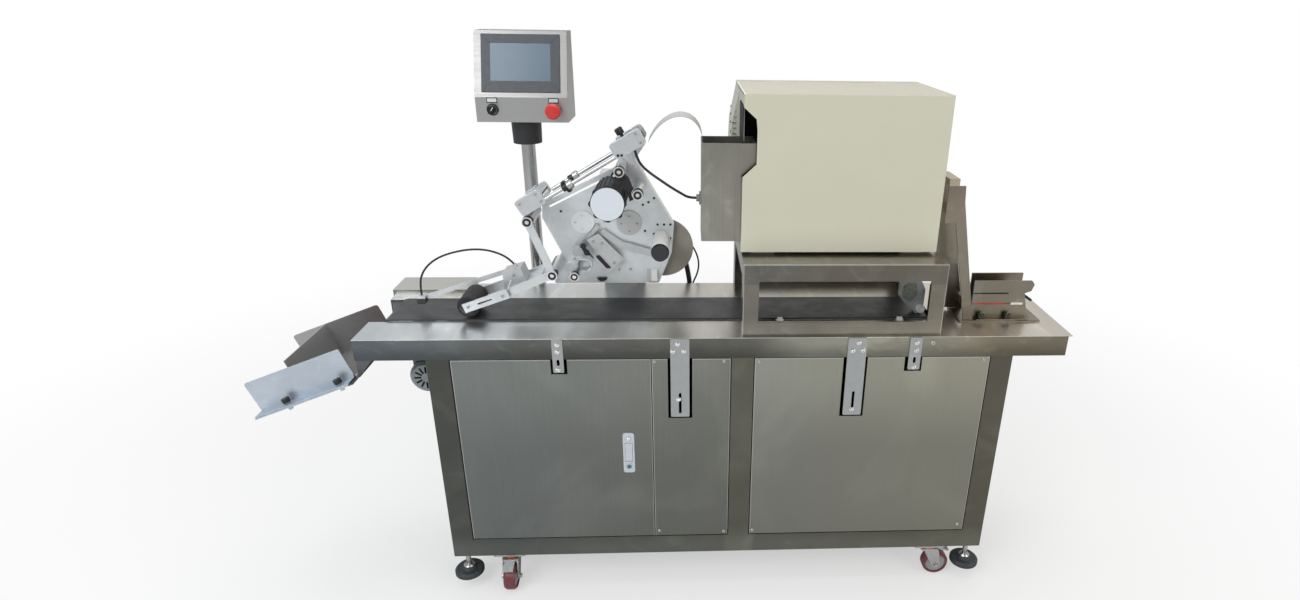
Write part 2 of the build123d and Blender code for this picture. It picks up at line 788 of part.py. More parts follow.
def press_roller():
    """Soft roller that presses the label on, hollow at its ends like a rubber sleeve."""
    x, z = press_centre
    body = ring(x, z, press_radius, shaft_radius + pin_fit, head_front + 2, press_end)
    return chamfer(body.edges().filter_by(GeomType.CIRCLE).group_by(SortBy.RADIUS)[-1], 1.5)


def drive_roller():
    """Ribbed drive roller with its lobed hand knob and plain end disc."""
    x, z = drive_centre
    bore = shaft_radius + 1 + pin_fit
    ribs = Circle(drive_radius - 2)
    for i in range(24):
        ribs += Rot(0, 0, 15 * i) * Pos(drive_radius - 2.5, 0) * Rectangle(5, 4)
    body = back(Pos(x, up(z)) * (ribs - Circle(bore)), 113.0, head_plate_front - roller_gap)
    lobes = Circle(drive_radius)
    for i in range(8):
        lobes += Rot(0, 0, 45 * i) * Pos(drive_radius - 4, 0) * Circle(8)
    body += back(Pos(x, up(z)) * (lobes - Circle(bore)), 102.0, 113.0)
    body += disc(x, z, disc_radius, 98.0, 102.0)
    return body - disc(x, z, bore, 102.0, 110.0)


def label_reel():
    """Flanged reel behind the plate, turning on its own shaft."""
    x, z = reel_centre
    bore = shaft_radius + 1 + pin_fit
    face = Pos(x, up(z)) * (Circle(reel_radius) - Circle(bore))
    y0 = head_plate_front + head_plate_thick + 7
    return back(face, y0, y0 + 4)


def label_web():
    """Strip of labels that arches from the bin to the upper clamp block."""
    start = (861.4, up(430))
    path = Spline([start, (861.4, up(466)), (854, up(497)), (835, up(519)), (808, up(527)), (776, up(518)),
                   (748, up(494)), (730, up(466))])
    face = trace(path, line_width=0.6)
    return back(face, bin_front + 14, bin_back - 4)


def screen_post():
    """Round post clamped behind the table, with the collar that the screen box turns on."""
    tube_z = (up(-apron_height - mount_drop), up(collar_top))
    post = rise(Pos(post_x, post_y) * Circle(post_radius), *tube_z)
    clamp = block(post_x - 32, post_x + 32, frame_back, post_y + 30, tube_z[0], up(-apron_height))
    collar_h = collar_top - collar_low
    collar = Pos(post_x, post_y, up(collar_low)) * Cone(collar_radius - 2, collar_radius, collar_h,
                                                        align=(Align.CENTER, Align.CENTER, Align.MIN))
    return post + clamp + collar


def screen_box():
    """Sheet housing with an upright lower face and an upper face that leans back for the screen."""
    y0, y1 = screen_front, screen_front + screen_depth
    side = outline([(y0, screen_low), (y1, screen_low), (y1, screen_top), (y0 + screen_lean, screen_top),
                    (y0, screen_break)], top_z)
    body = across(side, screen_left, screen_left + screen_width)
    lean = degrees(atan2(screen_lean, screen_top - screen_break))
    slope = hypot(screen_lean, screen_top - screen_break)
    face = Plane(origin=(screen_left + screen_width / 2, y0, up(screen_break)), x_dir=(1, 0, 0),
                 z_dir=(0, -cos(radians(lean)), sin(radians(lean))))
    bezel = Pos(0, slope / 2 + 2) * RectangleRounded(203, 150, 4)
    body += extrude(face * bezel, amount=3)
    screen = Pos(0, slope / 2 + 7) * Rectangle(156, 94)
    body -= extrude(face.offset(3) * screen, amount=-1.5)
    selector = ring(selector_x, knob_height, 14, 9, y0 - 3, y0)
    guard = ring(stop_x, knob_height - 2, 15, 9.5, y0 - guard_depth, y0)
    body += selector + guard
    return body


def selector_knob():
    """Selector with a raised grip across it."""
    x, z = selector_x, knob_height
    front = screen_front - 3.4
    knob = disc(x, z, 11, front - 8, front)
    grip = Pos(x, up(z)) * Rot(0, 0, 45) * SlotOverall(24, 7)
    return knob + back(grip, front - 16, front - 8)


def stop_button():
    """Mushroom head of the emergency stop on its stem."""
    x, z = stop_x, knob_height - 2
    y = screen_front - stop_travel - 0.6
    under = guard_depth + stop_travel
    profile = make_face(Polyline([(0, 0), (8.9, 0), (8.9, under), (stop_radius, under + 3),
                                  (stop_radius, under + 10), (stop_radius - 4, under + 15),
                                  (0, under + 17)], close=True))
    cap = revolve(Plane.XZ * profile, Axis.Z)
    return Pos(x, y, up(z)) * Rot(90, 0, 0) * cap


def printer_stand():
    """Folded stand over the belt: a window at front and back and a gate at each side."""
    x0, x1 = stand_left, stand_left + stand_length
    y0, y1 = stand_front, frame_back
    stand = block(x0, x1, y0, y1, top_z, up(stand_height))
    stand -= block(x0 + stand_sheet, x1 - stand_sheet, y0 + stand_sheet, y1 - stand_sheet,
                   top_z - 1, up(stand_height - stand_sheet))
    window = rounded(rect(x0 + 39, x1 - 39, up(37), up(146)), 3)
    stand -= back(window, y0 - 1, y1 + 1)
    gate = rect(y0 + 50, y1 - 60, top_z - 1, up(146))
    return stand - across(gate, x0 - 1, x1 + 1)


def printer_side():
    """Side outline of the printer's cover with the notch for the label bin."""
    x0, x1 = printer_left, printer_left + printer_length
    return [(x0, printer_low), (x1, printer_low), (x1, printer_top), (x0, printer_top), (x0, 553),
            (x0 + 30, 526), (x0 + 33, 500), (x0 + 33, 419), (x0, 388)]


def hinge_barrel(x0, x1, radius):
    """Round piece along the cover's hinge line between x0 and x1."""
    return across(Pos(cover_hinge, up(printer_top) - knuckle_radius) * Circle(radius), x0, x1)


def hinge_web(x0, x1, y0, y1):
    """Flat leaf of a knuckle, level with the cover's top."""
    return block(x0, x1, y0, y1, up(printer_top) - cover_sheet, up(printer_top))


def printer_cover():
    """Cover that wraps the front side and the top, with two knuckles on each of its hinges."""
    x0, x1 = printer_left, printer_left + printer_length
    side = back(outline(printer_side(), top_z), printer_front, printer_front + cover_sheet)
    edge_y = cover_hinge - knuckle_radius - 1
    cover = side + block(x0, x1, printer_front, edge_y, up(printer_top - cover_sheet), up(printer_top))
    edge = cover.edges().filter_by(Axis.X).group_by(Axis.Z)[-1].sort_by(Axis.Y)[0]
    cover = fillet(edge, 2.5)
    third = hinge_length / 3
    for left in hinge_places:
        for a in (left, left + 2 * third):
            cover += hinge_barrel(a, a + third, knuckle_radius)
            cover += hinge_web(a, a + third, edge_y - 1, cover_hinge)
            cover -= hinge_barrel(a - 1, a + third + 1, hinge_pin + pin_fit)
    return cover


def printer_body():
    """Printer under its cover: chassis with a bay for the labels' way out, and the control end."""
    x0, x1 = printer_left, printer_left + printer_length
    y0 = printer_front + cover_sheet + cover_gap
    low, high = up(printer_low), up(printer_top)
    body = block(x0, x1, y0, printer_back, low, high - cover_sheet - cover_gap)
    spine = cover_hinge + knuckle_radius + 1
    body += block(x0, x1, spine, printer_back, low, high)
    third = hinge_length / 3
    for left in hinge_places:
        a, b = left + third + knuckle_gap, left + 2 * third - knuckle_gap
        body += hinge_barrel(a, b, knuckle_radius) + hinge_web(a, b, cover_hinge, spine)
        body += hinge_barrel(left, left + hinge_length, hinge_pin)
    end = outline([(x0, printer_top - 10), (x0 - 7, 540), (x0 - 17, 491), (x0 - 19, 437),
                   (x0 - 19, printer_low + 4), (x0, printer_low + 4)], top_z)
    wedge = back(end, 262.0, printer_back)
    for i in range(7):
        wedge -= block(x0 - 24, x0 - 6, 261, 268, up(430 + 14 * i), up(437 + 14 * i))
    body += wedge
    body -= block(x0 - 1, x0 + 54, y0 - 1, bin_back + 12, up(380), up(556))
    for left in (x0 + 26, x1 - 86):
        for front in (y0 + 10, printer_back - 60):
            body += block(left, left + 60, front, front + 40, up(stand_height), low)
    return body


def label_bin():
    """Sheet steel bin at the printer's outlet, open at its top, spaced off the printer's end."""
    x0 = bin_left
    shape = [(x0, bin_low), (x0 + 84, bin_low), (x0 + 84, 378), (x0 + 132, 417), (x0 + 132, bin_top),
             (x0, bin_top)]
    outer = outline(shape, top_z)
    inner = offset(outer, -bin_sheet, kind=Kind.INTERSECTION)
    solid = back(outer, bin_front, bin_back)
    solid -= back(inner, bin_front + bin_sheet, bin_back - bin_sheet)
    solid -= block(x0 + bin_sheet, x0 + 132 - bin_sheet, bin_front + bin_sheet, bin_back - bin_sheet,
                   up(bin_top - 10), up(bin_top + 1))
    for low in (240, 340):
        solid += block(x0 + 84, printer_left, 120, 180, up(low), up(low + 20))
    gland = Pos(bin_cable_y, up(bin_route[-1][1])) * Circle(9)
    flange = Pos(bin_cable_y, up(bin_route[-1][1])) * RectangleRounded(26, 30, 3)
    return solid + across(gland, bin_route[-1][0], x0) + across(flange, x0 - 5, x0)


def feeder_frame():
    """Two slanting side plates with their ties, base plate and fixed rear guide."""
    y0, y1 = feeder_front, feeder_front + feeder_width
    plate = outline([(1472, 366), (1515, 366), (1518, 324), (1556, 130), (1582, feeder_base),
                     (1556, feeder_base), (1501, 271), (1472, 271)], top_z)
    rear = outline([(1472, 366), (1515, 366), (1518, 324), (1556, 130), (1582, feeder_base),
                    (1490, feeder_base + 4), (1486, 271), (1472, 271)], top_z)
    frame = back(plate, y0, y0 + feeder_plate) + back(rear, y1 - feeder_plate, y1)
    frame += block(feeder_left, feeder_left + 26, y0, y1, up(366), up(384))
    frame += block(1478, 1508, y0, y1, up(290), up(300))
    frame += disc(1562, 45, 10, y0, y1)
    base = block(1545, 1764, y0 - 4, y1 + 6, top_z, up(feeder_base))
    for x in (1594, 1676):
        base -= block(x - 4, x + 4, y0 + 1, y0 + 48, top_z - 1, up(feeder_base + 1))
    frame += base
    guide = outline([(1596, feeder_base), (1596, 108), (1738, 108), (1738, 84), (1720, feeder_base)], top_z)
    frame += back(guide, guide_rear, guide_rear + feeder_plate)
    return frame


def feeder_guide():
    """Front guide that slides across the base on two knobs, slotted and round at its tip."""
    clear = 0.4
    base = feeder_base + clear
    face = outline([(1590, base), (1590, 110), (1733, 110), (1741, 100), (1735, 81), (1718, 75), (1728, 30),
                    (1728, base)], top_z)
    face = fillet(face.vertices().group_by(Axis.X)[-1], 3)
    wall = back(face, guide_front, guide_front + feeder_plate)
    wall -= strip((1600, 75), (1672, 75), 4, guide_front - 1, guide_front + feeder_plate + 1)
    wall -= strip((1600, 46), (1700, 46), 4, guide_front - 1, guide_front + feeder_plate + 1)
    wall += block(1590, 1728, guide_front - 17, guide_front, up(base), up(base + 3))
    for x in (1604, 1676):
        y = guide_front - 9
        wall += rise(Pos(x, y) * Circle(7), up(base + 3), up(base + 16))
    return wall


def sensor_arm():
    """Block on the peel plate with the flat bar that reaches back along the belt to the eye."""
    seat = outline([(346, 72.6), (403.5, 97.5), (390.5, 133.6), (343.2, 120)], top_z)
    holder = back(seat, 150.0, 205.0)
    bar = strip((124, 43), (352, 118), 12, 170.0, 174.0)
    eye = rounded(rect(112, 134, up(30), up(52)), 3)
    arm = holder + bar + back(eye, 160.0, 184.0)
    end = Vector(sensor_route[-1][0], sensor_y, up(sensor_route[-1][1]))
    last = Vector(sensor_route[-2][0], sensor_y, up(sensor_route[-2][1]))
    arm += extrude(Plane(origin=end, z_dir=end - last) * Circle(4.5), amount=14)
    return arm


def tube_along(points, radius, label):
    """Cord: straight runs joined by tangent arcs as large as the runs allow."""
    pts = [Vector(*p) for p in points]
    radii = []
    for a, b, c in zip(pts, pts[1:], pts[2:]):
        turn = radians((b - a).get_angle(c - b))
        short = min((b - a).length, (c - b).length)
        radii.append(round(0.45 * short / tan(turn / 2), 2))
    path = FilletPolyline(*pts, radius=radii)
    section = Plane(origin=pts[0], z_dir=(pts[1] - pts[0])) * Circle(radius)
    cord = sweep(section, path=path)
    print(label, "length", round(path.length, 1), "radii", radii,
          "volume ratio", round(cord.volume / (path.length * 3.14159265 * radius ** 2), 4))
    return cord


def sensor_cable():
    """Cable that arches from the eye back to the holder block."""
    points = [(x, sensor_y, up(z)) for x, z in sensor_route]
    return tube_along(points, 2.6, "sensor_cable")


def route(points, y):
    """Route points in space from their X and height."""
    return [(x, y, up(z)) for x, z in points]


def bin_cable():
    """Cable from the upper clamp block to the gland on the label bin."""
    return tube_along(route(bin_route, bin_cable_y), 3.2, "bin_cable")


def head_conduit():
    """Corrugated conduit from the head's column down to the elbow behind the cabinet."""
    return tube_along(route(conduit_route, conduit_y), conduit_radius, "head_conduit")


def loop_cable():
    """Thinner cable beside the conduit, in a wider loop."""
    return tube_along(route(loop_route, loop_y), 2.5, "loop_cable")


def rear_elbow():
    """Elbow fittings on the cabinet's back that take the conduit and the cable beside it."""
    low = up(conduit_route[-1][1])
    x = conduit_route[-1][0]
    elbow = rise(Pos(x, conduit_y) * Circle(conduit_radius + 4), low - 34, low)
    elbow += back(Pos(x, low - 24) * Circle(10), frame_back, conduit_y)
    x, z = loop_route[-1]
    elbow += rise(Pos(x, loop_y) * Circle(5.5), low - 34, low)
    elbow += block(x - 12, x + 8, conduit_y, loop_y, low - 30, low - 18)
    return elbow + back(Pos(x - 4, low - 24) * Circle(15), frame_back, frame_back + 5)


def build():
    """Make every node, then set the machine's origin at its bottom centre."""
    nodes["cabinet_frame"] = cabinet_frame()
    nodes["long_rails"] = long_rails()
    nodes["cross_rails"] = cross_rails()
    nodes["caster_plates"] = caster_plates()
    nodes["front_panels"] = fixed_panels()
    nodes["skin_panels"] = skin_panels()
    nodes["cabinet_door"] = cabinet_door()
    nodes["lock_housing"] = lock_housing()
    nodes["lock_lever"] = lock_lever()
    nodes["levelling_feet"] = levelling_feet()
    turns = (270.0, 0.0, 0.0, 90.0)
    names = ("front_left", "front_right", "rear_left", "rear_right")
    for name, (x, y), turn in zip(names, caster_places(), turns):
        nodes[f"caster_fork_{name}"] = caster_fork(x, y, turn)
        nodes[f"caster_wheel_{name}"] = caster_wheel(x, y, turn)
    nodes["table_top"] = table_top()
    nodes["conveyor_belt"] = conveyor_belt()
    nodes["belt_bed"] = belt_bed()
    nodes["hanging_brackets"] = hanging_brackets()
    nodes["gear_motor"] = gear_motor()
    nodes["rear_cover"] = rear_cover()
    nodes["tray_floor"] = tray_floor()
    nodes["tray_walls"] = tray_walls()
    nodes["tray_slide"] = tray_slide()
    nodes["head_plate"] = head_plate()
    nodes["head_column"] = head_column()
    nodes["rod_blocks"] = rod_blocks()
    nodes["guide_rods"] = guide_rods()
    nodes["roller_shafts"] = roller_shafts()
    for name in roller_table:
        nodes[name] = idler(name)
    nodes["link_bar"] = link_bar()
    nodes["head_arms"] = head_arms()
    nodes["peel_unit"] = peel_unit()
    nodes["press_roller"] = press_roller()
    nodes["drive_roller"] = drive_roller()
    nodes["label_reel"] = label_reel()
    nodes["label_web"] = label_web()
    nodes["sensor_arm"] = sensor_arm()
    nodes["sensor_cable"] = sensor_cable()
    nodes["bin_cable"] = bin_cable()
    nodes["head_conduit"] = head_conduit()
    nodes["loop_cable"] = loop_cable()
    nodes["rear_elbow"] = rear_elbow()
    nodes["screen_post"] = screen_post()
    nodes["screen_box"] = screen_box()
    nodes["selector_knob"] = selector_knob()
    nodes["stop_button"] = stop_button()
    nodes["printer_stand"] = printer_stand()
    nodes["printer_body"] = printer_body()
    nodes["printer_cover"] = printer_cover()
    nodes["label_bin"] = label_bin()
    nodes["feeder_frame"] = feeder_frame()
    nodes["feeder_guide"] = feeder_guide()


cord_names = ("sensor_cable", "bin_cable", "head_conduit", "loop_cable")
build()
boxes = [shape.bounding_box() for name, shape in nodes.items() if name not in cord_names]
centre_x = (min(b.min.X for b in boxes) + max(b.max.X for b in boxes)) / 2
centre_y = (min(b.min.Y for b in boxes) + max(b.max.Y for b in boxes)) / 2
floor_z = min(b.min.Z for b in boxes)
print("origin at", round(centre_x, 3), round(centre_y, 3), round(floor_z, 3))

os.makedirs("parts", exist_ok=True)
for name, shape in nodes.items():
    placed = Pos(-centre_x, -centre_y, -floor_z) * shape
    export_step(placed, f"parts/{name}.step")
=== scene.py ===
import bmesh
import bpy
import math
from mathutils import Matrix, Vector


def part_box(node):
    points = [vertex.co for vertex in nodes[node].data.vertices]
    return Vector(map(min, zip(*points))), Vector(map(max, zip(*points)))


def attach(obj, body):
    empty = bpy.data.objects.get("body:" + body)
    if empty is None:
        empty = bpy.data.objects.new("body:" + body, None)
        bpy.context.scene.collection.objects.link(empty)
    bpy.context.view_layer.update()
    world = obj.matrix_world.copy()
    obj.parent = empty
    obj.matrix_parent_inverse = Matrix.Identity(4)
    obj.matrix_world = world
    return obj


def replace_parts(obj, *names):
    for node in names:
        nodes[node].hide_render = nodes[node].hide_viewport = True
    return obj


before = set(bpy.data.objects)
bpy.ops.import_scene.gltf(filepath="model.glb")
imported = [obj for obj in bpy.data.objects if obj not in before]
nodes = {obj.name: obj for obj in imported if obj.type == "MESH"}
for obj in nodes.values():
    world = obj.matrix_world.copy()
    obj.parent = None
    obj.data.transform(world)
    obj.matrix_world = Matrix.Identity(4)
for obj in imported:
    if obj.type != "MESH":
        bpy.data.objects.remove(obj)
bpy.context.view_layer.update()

# Places are in millimetres: along the table, back from its front edge and up from its top

corner_low, corner_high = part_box("table_top")
TABLE_LEFT = corner_low.x
TABLE_FRONT = corner_low.y
TABLE_TOP = corner_high.z
TABLE_LENGTH = 1800


def place(x, y, z):
    """Point in metres of the shared frame."""
    return Vector((TABLE_LEFT + x / 1000, TABLE_FRONT + y / 1000, TABLE_TOP + z / 1000))


def x_at(x):
    return place(x, 0, 0).x


def y_at(y):
    return place(0, y, 0).y


def z_at(z):
    return place(0, 0, z).z


def add_object(name, data):
    o = bpy.data.objects.new(name, data)
    bpy.context.scene.collection.objects.link(o)
    return o


# Camera at the photograph's viewing angle: turns in degrees, focal length and axis in the photo's pixels

PHOTO_WIDTH = 1300
PHOTO_AXIS_X = 723.6
FOCAL_LENGTH = 743.1
SENSOR_WIDTH = 36
CAMERA_TURNS = (3.091, 21.913, 0.932)
CAMERA_PLACE = (820, -1689, 783)


def make_camera():
    yaw, pitch, roll = (math.radians(a) for a in CAMERA_TURNS)
    ahead = Vector((math.sin(yaw) * math.cos(pitch), math.cos(yaw) * math.cos(pitch), -math.sin(pitch)))
    right = Vector((math.cos(yaw), -math.sin(yaw), 0))
    up = right.cross(ahead)
    rolled_right = math.cos(roll) * right + math.sin(roll) * up
    rolled_up = math.cos(roll) * up - math.sin(roll) * right
    data = bpy.data.cameras.new("camera")
    data.sensor_width = SENSOR_WIDTH
    data.sensor_fit = "HORIZONTAL"
    data.lens = FOCAL_LENGTH / PHOTO_WIDTH * SENSOR_WIDTH
    data.shift_x = (PHOTO_WIDTH / 2 - PHOTO_AXIS_X) / PHOTO_WIDTH
    camera = add_object("camera", data)
    pose = Matrix((rolled_right, rolled_up, -ahead)).transposed().to_4x4()
    pose.translation = place(*CAMERA_PLACE)
    camera.matrix_world = pose
    bpy.context.scene.camera = camera


make_camera()

# Materials


def add_node(tree, kind, **props):
    n = tree.nodes.new(kind)
    for key, value in props.items():
        setattr(n, key, value)
    return n


def set_inputs(node, values):
    for key, value in values.items():
        node.inputs[key].default_value = value


class Mat:
    """A node material with helpers for procedural detail in object coordinates."""

    def __init__(self, name, color, rough, metal=0.0):
        self.material = bpy.data.materials.new(name)
        self.material.use_nodes = True
        self.tree = self.material.node_tree
        self.shader = self.tree.nodes["Principled BSDF"]
        set_inputs(self.shader, {"Base Color": (*color, 1), "Roughness": rough, "Metallic": metal})
        self.coord = self.node("ShaderNodeTexCoord").outputs["Object"]

    def node(self, kind, **props):
        return add_node(self.tree, kind, **props)

    def link(self, a, b):
        self.tree.links.new(a, b)

    def source(self, name):
        """What feeds a socket of the shader now: a link or its plain value."""
        socket = self.shader.inputs[name]
        return socket.links[0].from_socket if socket.is_linked else socket.default_value

    def put(self, socket, value):
        """Give a socket a link, a number or a colour."""
        if hasattr(value, "is_output"):
            self.link(value, socket)
        elif hasattr(value, "__len__") and len(value) == 3 and len(socket.default_value) == 4:
            socket.default_value = (*value, 1)
        else:
            socket.default_value = value

    def noise(self, scale, detail=4.0, rough=0.55, lo=0.35, hi=0.65, shift=(0, 0, 0), distort=0.0):
        """Noise from 0 to 1 between lo and hi; scale is cycles per metre, one number or three."""
        mapping = self.node("ShaderNodeMapping")
        each = scale if hasattr(scale, "__len__") else (scale,) * 3
        set_inputs(mapping, {"Scale": each, "Location": shift})
        self.link(self.coord, mapping.inputs["Vector"])
        n = self.node("ShaderNodeTexNoise")
        set_inputs(n, {"Scale": 1, "Detail": detail, "Roughness": rough, "Distortion": distort})
        self.link(mapping.outputs["Vector"], n.inputs["Vector"])
        return self.ramp(n.outputs["Fac"], lo, hi)

    def ramp(self, fac, lo, hi, a=0.0, b=1.0):
        """From a at lo to b at hi, smoothly."""
        n = self.node("ShaderNodeMapRange", interpolation_type="SMOOTHSTEP")
        set_inputs(n, {"From Min": lo, "From Max": hi, "To Min": a, "To Max": b})
        self.link(fac, n.inputs["Value"])
        return n.outputs["Result"]

    def math(self, op, a, b=0.0):
        n = self.node("ShaderNodeMath", operation=op)
        self.put(n.inputs[0], a)
        self.put(n.inputs[1], b)
        return n.outputs[0]

    def times(self, a, b):
        """Product of two masks or numbers."""
        return self.math("MULTIPLY", a, b)

    def rest_of(self, fac):
        """1 where a mask is 0."""
        return self.math("SUBTRACT", 1.0, fac)

    def axis(self, i):
        n = self.node("ShaderNodeSeparateXYZ")
        self.link(self.coord, n.inputs[0])
        return n.outputs[i]

    def inside(self, x=(None, None), y=(None, None), z=(None, None)):
        """1 between two places along each axis, else 0; places as in place(), None is no end."""
        out = None
        for i, (ends, world) in enumerate(((x, x_at), (y, y_at), (z, z_at))):
            for end, op in zip(ends, ("GREATER_THAN", "LESS_THAN")):
                if end is not None:
                    one = self.math(op, self.axis(i), world(end))
                    out = one if out is None else self.times(out, one)
        return out

    def around(self, centre, axis, radius):
        """1 within a radius of a line through centre along axis 0, 1 or 2, else 0; in metres."""
        total = None
        for i in range(3):
            if i != axis:
                d = self.math("SUBTRACT", self.axis(i), centre[i])
                d = self.times(d, d)
                total = d if total is None else self.math("ADD", total, d)
        return self.math("LESS_THAN", total, radius * radius)

    def band(self, i, lo, hi, soft=0.0005):
        """1 between two places along an axis, fading over a soft edge; in metres."""
        v = self.axis(i)
        return self.times(self.ramp(v, lo - soft, lo), self.ramp(v, hi, hi + soft, 1.0, 0.0))

    def side_faces(self, i):
        """1 on faces that look sideways to an axis, such as a plate's cut edges."""
        n = self.node("ShaderNodeSeparateXYZ")
        self.link(self.node("ShaderNodeTexCoord").outputs["Normal"], n.inputs[0])
        return self.math("LESS_THAN", self.math("ABSOLUTE", n.outputs[i]), 0.5)

    def recolor(self, how, fac, color, amount):
        n = self.node("ShaderNodeMix", data_type="RGBA", blend_type=how)
        self.put(n.inputs[0], self.times(fac, amount) if amount != 1.0 else fac)
        self.put(n.inputs[6], self.source("Base Color"))
        self.put(n.inputs[7], color)
        self.link(n.outputs[2], self.shader.inputs["Base Color"])
        return self

    def shade(self, fac, factor, amount=1.0):
        """Multiply the base colour by a factor where fac is 1."""
        return self.recolor("MULTIPLY", fac, factor, amount)

    def tint(self, fac, color, amount=1.0):
        """Mix the base colour towards another where fac is 1."""
        return self.recolor("MIX", fac, color, amount)

    def blend(self, name, fac, value):
        """Mix a plain socket of the shader towards a value where fac is 1."""
        n = self.node("ShaderNodeMix", data_type="FLOAT")
        self.put(n.inputs[0], fac)
        self.put(n.inputs[2], self.source(name))
        self.put(n.inputs[3], value)
        self.link(n.outputs[0], self.shader.inputs[name])
        return self

    def rounded_edges(self, radius):
        """Light caught on sharp edges, as if they were rounded by a radius in mm."""
        n = self.node("ShaderNodeBevel", samples=4)
        n.inputs["Radius"].default_value = radius / 1000
        normal = self.shader.inputs["Normal"]
        while normal.is_linked:
            normal = normal.links[0].from_node.inputs["Normal"]
        self.link(n.outputs[0], normal)
        return self

    def bump(self, fac, strength, depth=0.001):
        n = self.node("ShaderNodeBump")
        set_inputs(n, {"Strength": strength, "Distance": depth})
        self.link(fac, n.inputs["Height"])
        self.link(n.outputs[0], self.shader.inputs["Normal"])


def steel(name, color, rough, grain, depth, cloud, stain=0.0, scratch=0.0, metal=1.0):
    """Brushed stainless: fine grain along one axis, soft clouding, a few stains and scratches."""
    m = Mat(name, color, rough, metal)
    streak = m.noise(grain, 5, 0.6, 0.25, 0.75)
    fine = m.noise(tuple(g * 3.1 for g in grain), 3, 0.5, 0.3, 0.7, (3, 1, 7))
    soft = m.noise((2.2, 2.2, 2.8), 3, 0.5, 0.3, 0.7, (9, 4, 2))
    dark = tuple(c * (1 - depth) for c in color)
    m.tint(streak, dark, 0.55).tint(fine, dark, 0.35)
    m.tint(soft, tuple(c * (1 - 2.5 * cloud) for c in color), 0.5)
    m.blend("Roughness", m.times(streak, 0.5), rough + 0.14)
    if stain:
        blot = m.noise(6.5, 5, 0.62, 0.60, 0.74, (2, 8, 5))
        m.tint(blot, (color[0] * 1.05, color[1] * 0.97, color[2] * 0.78), stain)
    if scratch:
        hair = m.noise((18, 900, 300), 2, 0.4, 0.70, 0.76, (5, 5, 5))
        m.tint(hair, tuple(min(1, c * 1.6) for c in color), scratch)
    m.bump(fine, 0.05, 0.0004)
    return m.rounded_edges(0.9)


def plain(name, color, rough, metal=0.0, vary=0.08, size=60, bump=0.05, grain=900):
    """Painted, moulded or machined surface with slight clouding and fine texture."""
    m = Mat(name, color, rough, metal)
    m.tint(m.noise(size, 4, 0.55), tuple(c * (1 - 2 * vary) for c in color), 0.5)
    clouds = m.noise(size * 2.3, 3, shift=(4, 4, 4))
    m.blend("Roughness", m.times(clouds, 0.6), min(1, rough + 0.12))
    m.bump(m.noise(grain, 2, 0.5, shift=(1, 7, 3)), bump, 0.0005)
    return m


panel_steel = steel("panel_steel", (0.191, 0.196, 0.184), 0.36, (260, 260, 4), 0.12, 0.05)
frame_steel = steel("frame_steel", (0.118, 0.118, 0.106), 0.27, (5, 300, 5), 0.20, 0.10, 0.25)
table_steel = steel("table_steel", (0.64, 0.62, 0.59), 0.27, (4, 240, 240), 0.12, 0.06, 0.35, 0.2)
sheet_steel = steel("sheet_steel", (0.27, 0.262, 0.245), 0.30, (5, 260, 260), 0.16, 0.08, 0.15, 0.1)
tray_steel = steel("tray_steel", (0.60, 0.63, 0.67), 0.42, (5, 260, 260), 0.10, 0.05, 0.1, 0.1, 0.8)
bin_steel = steel("bin_steel", (0.37, 0.36, 0.335), 0.36, (220, 220, 4), 0.14, 0.08, 0.2)
box_steel = steel("box_steel", (0.52, 0.52, 0.52), 0.34, (5, 240, 240), 0.12, 0.06, 0.1)
cover_steel = steel("cover_steel", (0.60, 0.585, 0.55), 0.34, (5, 240, 240), 0.10, 0.08, 0.2, 0.1)
stand_steel = steel("stand_steel", (0.225, 0.215, 0.195), 0.26, (5, 260, 260), 0.16, 0.12, 0.25, 0.15)
feeder_steel = steel("feeder_steel", (0.265, 0.252, 0.232), 0.30, (260, 260, 5), 0.14, 0.12, 0.25, 0.1)
zinc = plain("zinc", (0.50, 0.51, 0.51), 0.34, 0.9, 0.10, 90, 0.05)
strap_zinc = plain("strap_zinc", (0.40, 0.415, 0.42), 0.40, 0.85, 0.03, 30, 0.03)
bright = plain("bright_steel", (0.76, 0.76, 0.76), 0.17, 1.0, 0.03, 9, 0.0)
chrome = plain("rod_chrome", (0.60, 0.60, 0.61), 0.34, 0.9, 0.02, 8, 0.0)
plate_alu = plain("plate_aluminium", (0.78, 0.82, 0.85), 0.42, 0.6, 0.06, 40, 0.06)
arm_alu = plain("arm_aluminium", (0.70, 0.73, 0.76), 0.34, 0.7, 0.05, 60, 0.05)
disc_alu = plain("disc_aluminium", (0.36, 0.37, 0.37), 0.45, 0.7, 0.08, 90, 0.05)
clamp_alu = plain("clamp_aluminium", (0.60, 0.62, 0.65), 0.32, 0.6, 0.04, 60, 0.05)
black = plain("black_plastic", (0.009, 0.009, 0.010), 0.34, 0, 0.2, 90, 0.06)
rubber = plain("black_rubber", (0.022, 0.022, 0.024), 0.62, 0, 0.2, 110, 0.15)
conduit_mat = plain("conduit", (0.016, 0.016, 0.018), 0.40, 0, 0.15, 90, 0.05)
bezel_grey = plain("bezel_grey", (0.060, 0.068, 0.082), 0.40, 0, 0.1, 60, 0.05)
white = plain("white_plastic", (0.78, 0.78, 0.76), 0.36, 0, 0.03, 60, 0.04)
lock_grey = plain("lock_grey", (0.56, 0.60, 0.65), 0.36, 0.3, 0.03, 60, 0.04)
key_blue = plain("key_blue", (0.06, 0.22, 0.26), 0.35)
glass_grey = plain("sensor_glass", (0.30, 0.34, 0.29), 0.25, 0.3, 0.05, 60, 0.03)
beige = plain("beige_paint", (0.585, 0.575, 0.462), 0.42, 0, 0.015, 9, 0.10, 1400)
reel_mat = plain("reel_board", (0.345, 0.32, 0.275), 0.5, 0, 0.06, 30, 0.05)
